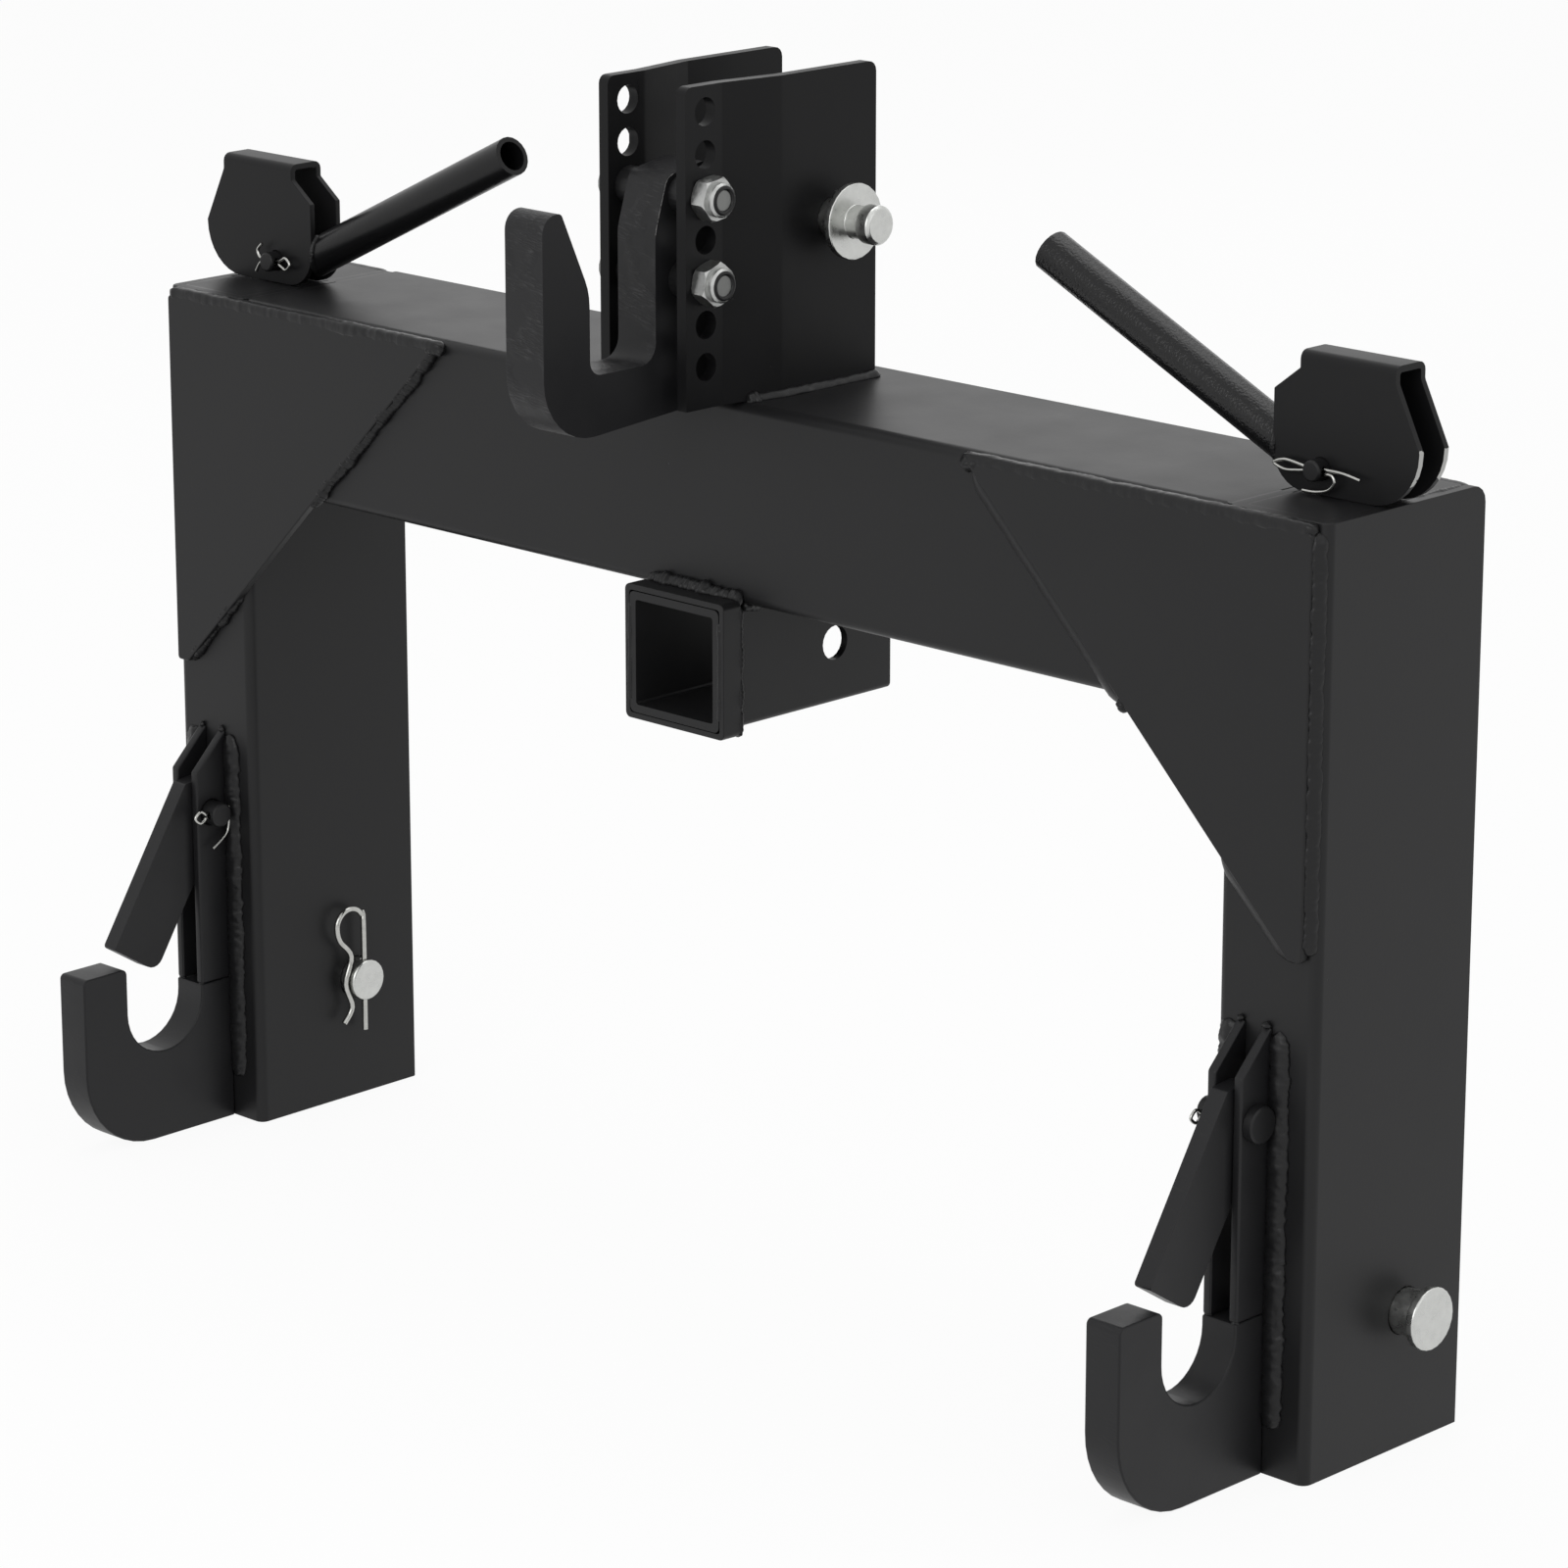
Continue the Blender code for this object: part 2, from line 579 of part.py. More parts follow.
def top_hook_bolt(place, zinc, coat):
    centre = (BOLT_ROW_Y, bolt_z(BOLT_PLACES[place]))
    seat = MAST_FRONT_GAP / 2 + MAST_THICKNESS + FIT
    tip = seat + NUT_HEIGHT + NUT_COLLAR_HEIGHT - FIT
    origin = (0, *centre)
    half = BOLT_DIAMETER / 2
    head = -seat - BOLT_HEAD_HEIGHT
    crown = BOLT_HEAD_CROWN / 2
    rim = BOLT_HEAD_DIAMETER / 2
    rise = BOLT_HEAD_HEIGHT - BOLT_HEAD_RIM
    turns = [math.pi / 2 * part / 4 for part in range(5)]
    dome = [(head + rise * (1 - math.cos(turn)), crown + (rim - crown) * math.sin(turn)) for turn in turns]
    bolt = turned(f"top_hook_bolt_{place}", origin, (1, 0, 0),
                  [(head, 0), *dome, (-seat, rim), (-seat, half),
                   (tip - THREAD_CHAMFER, half), (tip, half - THREAD_CHAMFER), (tip, 0)], zinc)
    hexagon = circle(*centre, BOLT_SOCKET_FLATS / math.sqrt(3), 6, NUT_TURN[place])
    socket = prism(f"{bolt.name}_socket", hexagon, "X",
                   head - BOLT_SOCKET_DEPTH, head + BOLT_SOCKET_DEPTH, zinc)
    combine(bolt, socket)

    corner = NUT_FLATS / math.sqrt(3)
    chamfer = corner - NUT_CHAMFER
    crown_half = corner + FIT
    nut = prism(f"top_hook_nut_{place}", circle(*centre, corner, 6, NUT_TURN[place]), "X",
                seat, seat + NUT_HEIGHT, zinc)
    crown = turned(f"{nut.name}_crown", origin, (1, 0, 0),
                   [(seat - FIT, 0), (seat - FIT, chamfer), (seat + NUT_CHAMFER, crown_half),
                    (seat + NUT_HEIGHT - NUT_CHAMFER, crown_half), (seat + NUT_HEIGHT + FIT, chamfer),
                    (seat + NUT_HEIGHT + FIT, 0)], zinc)
    combine(nut, crown, "INTERSECT")
    collar_end = seat + NUT_HEIGHT + NUT_COLLAR_HEIGHT
    collar_half = NUT_COLLAR_DIAMETER / 2
    collar = turned(f"{nut.name}_collar", origin, (1, 0, 0),
                    [(seat + NUT_HEIGHT / 2, 0), (seat + NUT_HEIGHT / 2, collar_half),
                     (collar_end - THREAD_CHAMFER, collar_half),
                     (collar_end, collar_half - THREAD_CHAMFER), (collar_end, 0)], zinc)
    combine(nut, collar, "UNION")
    drill(nut, "thread", "X", centre, BOLT_DIAMETER + 2 * RUNNING,
          seat - NUT_HEIGHT, seat + 2 * NUT_HEIGHT)
    for side, sign in SIDES.items():
        near = TOP_HOOK_THICKNESS / 2 + FIT
        far = MAST_FRONT_GAP / 2 - FIT
        hole = BOLT_DIAMETER / 2 + RUNNING
        turned(f"top_hook_spacer_{place}_{side}", origin, (sign, 0, 0),
               [(near, hole), (near, SPACER_DIAMETER / 2), (far, SPACER_DIAMETER / 2), (far, hole)],
               coat, ring=True)


def top_link_pin(zinc, bright_wire):
    plate = MAST_BACK_GAP / 2 + MAST_THICKNESS
    half = TOP_LINK_DIAMETER / 2
    edge = half / 6
    flange = plate + TOP_LINK_FLANGE_GAP
    flange_back = flange + TOP_LINK_FLANGE_THICKNESS
    end = flange_back + TOP_LINK_STUB
    neck_end = end - TOP_LINK_STUB / 2
    tail = plate + TOP_LINK_TAIL
    origin = (0, TOP_LINK_Y, TOP_LINK_Z)
    pin = turned("top_link_pin", origin, (1, 0, 0), [
        (-tail, 0), (-tail, half - edge), (edge - tail, half), (flange, half),
        (flange, TOP_LINK_FLANGE / 2), (flange_back, TOP_LINK_FLANGE / 2),
        (flange_back, TOP_LINK_NECK / 2), (neck_end, TOP_LINK_NECK / 2), (neck_end, half),
        (end - edge, half), (end, half - edge), (end, 0),
    ], zinc, segments=24)
    roll_x = plate + ROLL_PIN_FROM_PLATE
    drill(pin, "roll_hole", "Z", (roll_x, TOP_LINK_Y), ROLL_PIN_DIAMETER + 2 * RUNNING,
          TOP_LINK_Z - TOP_LINK_DIAMETER, TOP_LINK_Z + TOP_LINK_DIAMETER, 16)
    reach = half + ROLL_PIN_PROUD
    roll = turned("top_link_roll_pin", (roll_x, TOP_LINK_Y, TOP_LINK_Z), (0, 0, 1),
                  [(-reach, 0), (-reach, ROLL_PIN_DIAMETER / 2), (reach, ROLL_PIN_DIAMETER / 2),
                   (reach, 0)], zinc, segments=16)
    clip_x = -(plate + TOP_LINK_TAIL / 2)
    drill(pin, "clip_hole", "Z", (clip_x, TOP_LINK_Y), CLIP_HOLE,
          TOP_LINK_Z - TOP_LINK_DIAMETER, TOP_LINK_Z + TOP_LINK_DIAMETER, 12)
    clip = spring_clip("top_link_clip", (clip_x, TOP_LINK_Y, TOP_LINK_Z), TOP_LINK_DIAMETER, bright_wire)
    hang("top_link_axis", origin, [pin, roll, clip])


def spring_clip(name, centre, pin_diameter, bright_wire):
    """R-clip: one leg through the pin, the other bent round its front."""
    beside = pin_diameter / 2 + CLIP_WIRE / 2 + FIT
    foot = Vector((0, -beside * CLIP_FOOT))
    shoulder = Vector((0, beside * CLIP_SHOULDER))
    spoke = Vector((CLIP_LOOP, 0))
    arc = [shoulder - spoke + Matrix.Rotation(math.pi * part / 6, 2) @ spoke for part in range(1, 7)]
    neck = Vector((CLIP_LOOP * CLIP_NECK[0], beside * CLIP_NECK[1]))
    bent_leg = [Vector(place) * beside for place in CLIP_BENT_LEG]
    route = smooth([foot, shoulder, *arc, neck, *bent_leg])
    points = [Vector(centre) + Vector((0, across, up)) for across, up in route]
    return wire(name, points, CLIP_WIRE, bright_wire)


def split_pin(name, centre, outward, pin_diameter, shape, bright_wire):
    """Doubled wire through a cross hole, with an eye on one side and its two ends bent apart."""
    eye, upper, lower = shape
    lane = SPLIT_PIN_PITCH / 2
    gate = pin_diameter / 2 + SPLIT_PIN_WIRE / 2
    upper_leg = [Vector(point) for point in reversed(upper)]
    lower_leg = [Vector(point) for point in lower]
    through = [Vector((gate, lane)), Vector((0, lane)), Vector((-gate, lane))]
    back = [Vector((-gate, -lane)), Vector((0, -lane)), Vector((gate, -lane))]
    route = smooth([*upper_leg, *through, *map(Vector, eye), *back, *lower_leg])
    outward = Vector(outward)
    points = [Vector(centre) + outward * along + Vector((0, 0, up)) for along, up in route]
    return wire(name, points, SPLIT_PIN_WIRE, bright_wire)


# Lower hooks, cheeks and latches

def lower_hook(side, sign, coat):
    middle = hook_centre(sign)
    prong_back = HOOK_PRONG - HOOK_REACH
    throat_back = prong_back + HOOK_THROAT
    half_throat = HOOK_THROAT / 2
    outline = rounded([
        (-FIT, 0, 0), (-HOOK_REACH, 0, HOOK_TOE_ROUND),
        (-HOOK_REACH, HOOK_PRONG_TOP, CUT_EDGE_ROUND), (prong_back, HOOK_PRONG_TOP, CUT_EDGE_ROUND),
        (prong_back, HOOK_FLOOR, half_throat * NEARLY), (throat_back, HOOK_FLOOR, half_throat * NEARLY),
        (throat_back, HOOK_HEEL_TOP, 0), (-FIT, HOOK_HEEL_TOP, 0),
    ], step=math.radians(10))
    prism(f"lower_hook_{side}", outline, "X",
          middle - HOOK_THICKNESS / 2, middle + HOOK_THICKNESS / 2, coat)


def latch_cheek(side, sign, name, direction, coat):
    middle = hook_centre(sign)
    outer = middle + direction * HOOK_THICKNESS / 2
    inner = outer - direction * CHEEK_THICKNESS
    outline = [(-CHEEK_DEPTH, HOOK_HEEL_TOP + FIT), (-FIT, HOOK_HEEL_TOP + FIT),
               (-FIT, CHEEK_BACK_TOP), (-CHEEK_DEPTH, CHEEK_FRONT_TOP)]
    cheek = prism(f"latch_cheek_{side}_{name}", outline, "X", min(inner, outer), max(inner, outer), coat)
    drill(cheek, "pin_hole", "X", (LATCH_PIVOT_Y, LATCH_PIVOT_Z), LATCH_PIN_DIAMETER + 2 * RUNNING,
          middle - HOOK_THICKNESS, middle + HOOK_THICKNESS)


def crossing(start, along, other, direction):
    """Point where two lines in the plane meet."""
    scale = (other - start).cross(direction) / along.cross(direction)
    return start + along * scale


def latch(side, sign, coat):
    middle = hook_centre(sign)
    pivot = Vector((LATCH_PIVOT_Y, LATCH_PIVOT_Z))
    down = Vector((-math.sin(LATCH_LEAN), -math.cos(LATCH_LEAN)))
    forward = Vector((-math.cos(LATCH_LEAN), math.sin(LATCH_LEAN)))
    tail = Vector((math.cos(TAIL_ANGLE), -math.sin(TAIL_ANGLE)))
    tail_down = Vector((-math.sin(TAIL_ANGLE), -math.cos(TAIL_ANGLE)))
    slot_far = TAIL_ARM / math.cos(TAIL_ANGLE)
    tail_end = slot_far + CLEVIS_PIN_DIAMETER / 2 + TAIL_END_WALL
    crotch = crossing(pivot - forward * LATCH_BACK, down, pivot + tail_down * TAIL_HALF_WIDTH, tail)
    shoulder = pivot - tail_down * TAIL_HALF_WIDTH + tail * LATCH_SHOULDER_RUN
    outline = rounded([
        (*(pivot - down * LATCH_TOP_RISE + forward * LATCH_FRONT), LATCH_CORNER_ROUND),
        (*(pivot + down * LATCH_LENGTH + forward * LATCH_FRONT), LATCH_CORNER_ROUND),
        (*(pivot + down * LATCH_LENGTH - forward * LATCH_BACK), LATCH_TOE_ROUND),
        (*crotch, LATCH_CROTCH_ROUND),
        (*(pivot + tail * tail_end + tail_down * TAIL_HALF_WIDTH), TAIL_HALF_WIDTH * NEARLY),
        (*(pivot + tail * tail_end - tail_down * TAIL_HALF_WIDTH), TAIL_HALF_WIDTH * NEARLY),
        (*shoulder, LATCH_CROTCH_ROUND),
        (*(pivot + Vector(LATCH_SHOULDER)), LATCH_SHOULDER_ROUND),
    ])
    plate = prism(f"latch_{side}", outline, "X",
                  middle - LATCH_THICKNESS / 2, middle + LATCH_THICKNESS / 2, coat)
    drill(plate, "pivot_hole", "X", pivot, LATCH_PIN_DIAMETER + 2 * RUNNING,
          middle - LATCH_THICKNESS, middle + LATCH_THICKNESS)
    slot_half = CLEVIS_PIN_DIAMETER / 2 + TAIL_SLOT_PLAY
    near = pivot + tail * (TAIL_ARM - slot_half)
    far = pivot + tail * (slot_far + slot_half)
    below = tail_down * slot_half
    slot_corners = [near + below, far + below, far - below, near - below]
    slot_outline = rounded([(*corner, slot_half * NEARLY) for corner in slot_corners])
    slot = prism(f"latch_{side}_slot", slot_outline, "X",
                 middle - LATCH_THICKNESS, middle + LATCH_THICKNESS, coat)
    combine(plate, slot)
    hang(f"latch_axis_{side}", (middle, LATCH_PIVOT_Y, LATCH_PIVOT_Z), [plate])


def latch_pin(side, sign, coat, bright_wire):
    middle = hook_centre(sign)
    half = LATCH_PIN_DIAMETER / 2
    face = HOOK_THICKNESS / 2
    head = face + FIT
    head_end = head + LATCH_PIN_HEAD_HEIGHT
    end = face + LATCH_PIN_PROUD
    chamfer = half / 8
    origin = (middle, LATCH_PIVOT_Y, LATCH_PIVOT_Z)
    pin = turned(f"latch_pin_{side}", origin, (sign, 0, 0), [
        (-end, 0), (-end, half - chamfer), (chamfer - end, half), (head, half),
        (head, LATCH_PIN_HEAD / 2), (head_end - chamfer, LATCH_PIN_HEAD / 2),
        (head_end, LATCH_PIN_HEAD / 2 - chamfer), (head_end, 0),
    ], coat)
    cross_x = middle - sign * (face + LATCH_PIN_PROUD / 2)
    drill(pin, "split_pin_hole", "Y", (cross_x, LATCH_PIVOT_Z), SPLIT_PIN_HOLE,
          LATCH_PIVOT_Y - LATCH_PIN_DIAMETER, LATCH_PIVOT_Y + LATCH_PIN_DIAMETER, 12)
    split_pin(f"latch_cotter_{side}", (cross_x, LATCH_PIVOT_Y, LATCH_PIVOT_Z), (0, 1, 0),
              LATCH_PIN_DIAMETER, SPLIT_PIN_SHAPES["latch"], bright_wire)


# Lift rods, clevises and springs inside the legs

def lift_rod(side, sign, steel):
    eye_half = CAM_WIDTH / 2 - CAM_SHEET - FIT
    bottom = CLEVIS_TOP + FIT
    length = CAM_PIN_Z - bottom
    x = sign * ROD_X
    rod = turned(f"lift_rod_{side}", (x, ROD_Y, bottom), (0, 0, 1),
                 [(0, 0), (0, ROD_DIAMETER / 2), (length, ROD_DIAMETER / 2), (length, 0)], steel)
    eye = turned(f"lift_rod_{side}_eye", (x, ROD_Y, CAM_PIN_Z), (0, 1, 0),
                 [(-eye_half, 0), (-eye_half, ROD_EYE_DIAMETER / 2),
                  (eye_half, ROD_EYE_DIAMETER / 2), (eye_half, 0)], steel)
    combine(rod, eye, "UNION")
    drill(rod, "eye_hole", "Y", (x, CAM_PIN_Z), CAM_PIN_DIAMETER + 2 * RUNNING, CAM_FRONT, CAM_BACK)

    middle = hook_centre(sign)
    ear = CLEVIS_GAP / 2 + CLEVIS_WALL
    low = min(middle - ear, x - CLEVIS_DEPTH / 2)
    high = max(middle + ear, x + CLEVIS_DEPTH / 2)
    foot = CLEVIS_PIN_Z - CLEVIS_BELOW_PIN
    gap = CLEVIS_GAP / 2
    outline = [(low, CLEVIS_TOP), (low, CLEVIS_THROAT), (middle - ear, CLEVIS_THROAT),
               (middle - ear, foot), (middle - gap, foot), (middle - gap, CLEVIS_THROAT),
               (middle + gap, CLEVIS_THROAT), (middle + gap, foot), (middle + ear, foot),
               (middle + ear, CLEVIS_THROAT), (high, CLEVIS_THROAT), (high, CLEVIS_TOP)]
    steps = [point for index, point in enumerate(outline) if point != outline[index - 1]]
    clevis = prism(f"rod_clevis_{side}", steps, "Y",
                   ROD_Y - CLEVIS_DEPTH / 2, ROD_Y + CLEVIS_DEPTH / 2, steel)
    drill(clevis, "pin_hole", "X", (ROD_Y, CLEVIS_PIN_Z), CLEVIS_PIN_DIAMETER + 2 * RUNNING,
          middle - 2 * ear, middle + 2 * ear, 16)
    head = ear + FIT
    head_end = head + CLEVIS_PIN_HEAD_HEIGHT
    head_half = CLEVIS_PIN_HEAD / 2
    pin_half = CLEVIS_PIN_DIAMETER / 2
    pin = turned(f"clevis_pin_{side}", (middle, ROD_Y, CLEVIS_PIN_Z), (1, 0, 0), [
        (-head_end, 0), (-head_end, head_half), (-head, head_half), (-head, pin_half),
        (head, pin_half), (head, head_half), (head_end, head_half), (head_end, 0),
    ], steel, segments=16)
    hang(f"lift_rod_axis_{side}", (x, ROD_Y, CAM_PIN_Z), [rod, clevis, pin])


def return_spring(side, sign, bright_wire, coat):
    """Coil with closed ends, between the clevis and a plate across the leg."""
    low = CLEVIS_TOP + FIT + SPRING_WIRE / 2
    travel = SPRING_LENGTH - SPRING_WIRE
    radius = (SPRING_DIAMETER - SPRING_WIRE) / 2
    per_turn = 10
    count = SPRING_TURNS * per_turn
    points = []
    for index in range(count + 1):
        turn = index / per_turn
        active = min(max(turn - 1, 0), SPRING_TURNS - 2) / (SPRING_TURNS - 2)
        closed = min(turn, 1) + max(turn - SPRING_TURNS + 1, 0)
        rise = closed * SPRING_END_PITCH + active * (travel - 2 * SPRING_END_PITCH)
        across = Matrix.Rotation(math.tau * turn, 2) @ Vector((radius, 0))
        points.append((sign * ROD_X + across.x, ROD_Y + across.y, low + rise))
    wire(f"return_spring_{side}", points, SPRING_WIRE, bright_wire)

    inner = sign * (LEG_INNER + LEG_WALL + FIT)
    outer = sign * (LEG_OUTER - LEG_WALL - FIT)
    stop = prism(f"spring_stop_{side}",
                 rectangle(min(inner, outer), LEG_WALL + FIT, max(inner, outer), LEG_WALL + STOP_DEPTH,
                           LEG_ROUND / 2 + FIT),
                 "Z", SPRING_TOP + FIT, SPRING_TOP + FIT + STOP_THICKNESS, coat)
    drill(stop, "rod_hole", "Z", (sign * ROD_X, ROD_Y), ROD_DIAMETER + 4 * RUNNING,
          SPRING_TOP - STOP_THICKNESS, SPRING_TOP + 3 * STOP_THICKNESS)


# Hand levers

def cam_outline(sign, shift=0.0):
    top = CAM_BOTTOM + CAM_HEIGHT
    inner, outer = ROD_X - CAM_INNER_REACH, ROD_X + CAM_OUTER_REACH
    web_inner, web_outer = ROD_X - CAM_WEB_INNER, ROD_X + CAM_WEB_OUTER
    corners = [
        (web_inner, top, 0), (web_inner, top - CAM_SHOULDER_DROP, CAM_CORNER_ROUND),
        (inner, top - CAM_HANDLE_DROP, CAM_CORNER_ROUND), (inner, CAM_BOTTOM, CAM_HEEL_ROUND),
        (outer, CAM_BOTTOM, CAM_TOE_ROUND), (outer, CAM_BOTTOM + CAM_TOE_SIDE, 0),
        (web_outer, top - CAM_SHOULDER_DROP, CAM_SHOULDER_ROUND), (web_outer, top, 0),
    ]
    placed = [(sign * (x - shift), z, radius) for x, z, radius in corners]
    return rounded(placed, step=math.radians(12))


def lever(side, sign, coat, bright_wire):
    top = CAM_BOTTOM + CAM_HEIGHT
    pivot = (sign * ROD_X, ROD_Y, CAM_PIN_Z)
    cam = prism(f"cam_{side}", cam_outline(sign), "Y", CAM_FRONT, CAM_BACK, coat)

    def on_fold(a, b):
        along_x = abs(a.y - b.y) < FIT and abs(a.x - b.x) > FIT
        return along_x and min(a.z, b.z) > top - FIT

    soften(cam, on_fold, CAM_FOLD_ROUND)
    inside = prism(f"cam_{side}_inside",
                   rectangle(CAM_FRONT + CAM_SHEET, CAM_BOTTOM - CAM_HEIGHT,
                             CAM_BACK - CAM_SHEET, top - CAM_SHEET, CAM_FOLD_ROUND / 3),
                   "X", sign * (ROD_X - 2 * CAM_OUTER_REACH), sign * (ROD_X + 2 * CAM_OUTER_REACH), coat)
    combine(cam, inside)
    drill(cam, "pin_hole", "Y", (sign * ROD_X, CAM_PIN_Z), CAM_PIN_DIAMETER + 2 * RUNNING,
          CAM_FRONT - CAM_SHEET, CAM_BACK + CAM_SHEET)

    root = Vector((sign * (ROD_X - CAM_INNER_REACH), ROD_Y, CAM_BOTTOM + HANDLE_ROOT_HEIGHT))
    direction = Vector((-sign * math.cos(HANDLE_ANGLE), 0, math.sin(HANDLE_ANGLE)))
    outer = HANDLE_DIAMETER / 2
    inner = outer - HANDLE_WALL
    handle = turned(f"handle_{side}", root, direction,
                    [(-outer, inner), (-outer, outer), (HANDLE_LENGTH, outer), (HANDLE_LENGTH, inner)],
                    coat, ring=True)
    mitre = prism(f"handle_{side}_mitre", cam_outline(sign, FIT), "Y",
                  CAM_FRONT - HANDLE_DIAMETER, CAM_BACK + HANDLE_DIAMETER, coat)
    combine(handle, mitre)

    half = CAM_PIN_DIAMETER / 2
    chamfer = half / 6
    front = CAM_WIDTH / 2 + CAM_PIN_PROUD
    back = CAM_WIDTH / 2 + FIT
    pin = turned(f"cam_pin_{side}", pivot, (0, 1, 0), [
        (-front, 0), (-front, half - chamfer), (chamfer - front, half), (back, half),
        (back, CAM_PIN_HEAD / 2), (back + CAM_PIN_HEAD_HEIGHT, CAM_PIN_HEAD / 2),
        (back + CAM_PIN_HEAD_HEIGHT, 0),
    ], coat)
    cross_y = CAM_FRONT - CAM_PIN_PROUD / 2
    drill(pin, "split_pin_hole", "X", (cross_y, CAM_PIN_Z), SPLIT_PIN_HOLE,
          sign * (ROD_X - CAM_PIN_DIAMETER), sign * (ROD_X + CAM_PIN_DIAMETER), 12)
    cotter = split_pin(f"cam_cotter_{side}", (sign * ROD_X, cross_y, CAM_PIN_Z), (sign, 0, 0),
                       CAM_PIN_DIAMETER, SPLIT_PIN_SHAPES[f"cam_{side}"], bright_wire)
    hang(f"lever_axis_{side}", pivot, [cam, handle, pin, cotter])


def lower_link_pin(side, sign, zinc, bright_wire):
    half = LINK_PIN_DIAMETER / 2
    head = LEG_OUTER + LINK_PIN_HEAD_GAP
    head_end = head + LINK_PIN_HEAD_HEIGHT
    end = LEG_INNER - LINK_PIN_PROUD
    edge = LINK_PIN_EDGE
    pin = turned(f"lower_link_pin_{side}", (0, LINK_PIN_Y, LINK_PIN_Z), (sign, 0, 0), [
        (end, 0), (end, half - edge), (end + edge, half), (head, half), (head, LINK_PIN_HEAD / 2),
        (head_end - edge, LINK_PIN_HEAD / 2), (head_end, LINK_PIN_HEAD / 2 - edge), (head_end, 0),
    ], zinc, segments=24)
    clip_x = sign * (LEG_INNER - LINK_CLIP_FROM_LEG)
    drill(pin, "clip_hole", "Z", (clip_x, LINK_PIN_Y), CLIP_HOLE,
          LINK_PIN_Z - LINK_PIN_DIAMETER, LINK_PIN_Z + LINK_PIN_DIAMETER, 12)
    clip = spring_clip(f"lower_link_clip_{side}", (clip_x, LINK_PIN_Y, LINK_PIN_Z),
                       LINK_PIN_DIAMETER, bright_wire)
    hang(f"lower_link_axis_{side}", (sign * LEG_INNER, LINK_PIN_Y, LINK_PIN_Z), [pin, clip])


def main():
    clear_scene()
    coat = finish("black_coat", (0.022, 0.022, 0.023), 0.42, 0.0)
    zinc = finish("zinc", (0.62, 0.62, 0.60), 0.32, 1.0)
    steel = finish("dark_steel", (0.20, 0.20, 0.20), 0.45, 1.0)
    bright_wire = finish("bright_wire", (0.75, 0.75, 0.74), 0.25, 1.0)

    cross_beam(coat)
    receiver(coat)
    top_hook(coat)
    for place in BOLT_PLACES:
        top_hook_bolt(place, zinc, coat)
    top_link_pin(zinc, bright_wire)
    for side, sign in SIDES.items():
        leg(side, sign, coat)
        leg_cap(side, sign, coat)
        corner_plate(side, sign, coat)
        mast_plate(side, sign, coat)
        lower_hook(side, sign, coat)
        latch_cheek(side, sign, "inner", -sign, coat)
        latch_cheek(side, sign, "outer", sign, coat)
        latch(side, sign, coat)
        latch_pin(side, sign, coat, bright_wire)
        lift_rod(side, sign, steel)
        return_spring(side, sign, bright_wire, coat)
        lever(side, sign, coat, bright_wire)
        lower_link_pin(side, sign, zinc, bright_wire)


main()
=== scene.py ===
import json
import math

import bmesh
import bpy
from mathutils import Matrix, Vector

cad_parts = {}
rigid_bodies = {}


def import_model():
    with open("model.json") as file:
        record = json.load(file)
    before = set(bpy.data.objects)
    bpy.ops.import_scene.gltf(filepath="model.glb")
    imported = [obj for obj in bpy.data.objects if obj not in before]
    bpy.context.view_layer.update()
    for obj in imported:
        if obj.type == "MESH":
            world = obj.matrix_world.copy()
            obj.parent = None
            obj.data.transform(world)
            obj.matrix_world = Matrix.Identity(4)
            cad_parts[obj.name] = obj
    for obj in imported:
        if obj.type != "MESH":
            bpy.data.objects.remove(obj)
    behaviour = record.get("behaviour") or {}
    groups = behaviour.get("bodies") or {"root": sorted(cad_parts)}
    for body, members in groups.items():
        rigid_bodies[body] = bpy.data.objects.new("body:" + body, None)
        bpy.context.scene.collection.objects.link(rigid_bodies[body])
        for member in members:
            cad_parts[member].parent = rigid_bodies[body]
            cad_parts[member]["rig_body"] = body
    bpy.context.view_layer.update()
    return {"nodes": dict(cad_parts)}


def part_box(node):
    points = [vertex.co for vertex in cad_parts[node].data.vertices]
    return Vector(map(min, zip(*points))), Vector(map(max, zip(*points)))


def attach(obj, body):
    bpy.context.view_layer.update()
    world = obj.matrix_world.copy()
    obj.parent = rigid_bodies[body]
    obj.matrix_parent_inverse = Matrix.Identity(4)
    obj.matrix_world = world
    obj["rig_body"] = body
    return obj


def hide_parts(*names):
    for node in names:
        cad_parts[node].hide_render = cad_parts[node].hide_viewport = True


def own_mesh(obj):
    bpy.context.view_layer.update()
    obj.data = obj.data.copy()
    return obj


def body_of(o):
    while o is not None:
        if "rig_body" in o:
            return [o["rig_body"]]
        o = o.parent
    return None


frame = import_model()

sides = {"right": 1, "left": -1}
scene = bpy.context.scene

# The lower hooks' middles lie a little to the left of the frame's
hookSpacing = {"half": 0.355, "shift": -0.0044}
hookX = {side: sign * hookSpacing["half"] + hookSpacing["shift"] for side, sign in sides.items()}


def hexColour(code):
    parts = [int(code[at:at + 2], 16) / 255 for at in (1, 3, 5)]
    return [part / 12.92 if part <= 0.04045 else ((part + 0.055) / 1.055) ** 2.4 for part in parts] + [1]


def bodyOf(node):
    return body_of(frame["nodes"][node])[0]


def addNode(tree, kind, inputs=None, **settings):
    node = tree.nodes.new(kind)
    for key, value in settings.items():
        setattr(node, key, value)
    for key, value in (inputs or {}).items():
        if isinstance(value, bpy.types.NodeSocket):
            tree.links.new(value, node.inputs[key])
        else:
            node.inputs[key].default_value = value
    return node


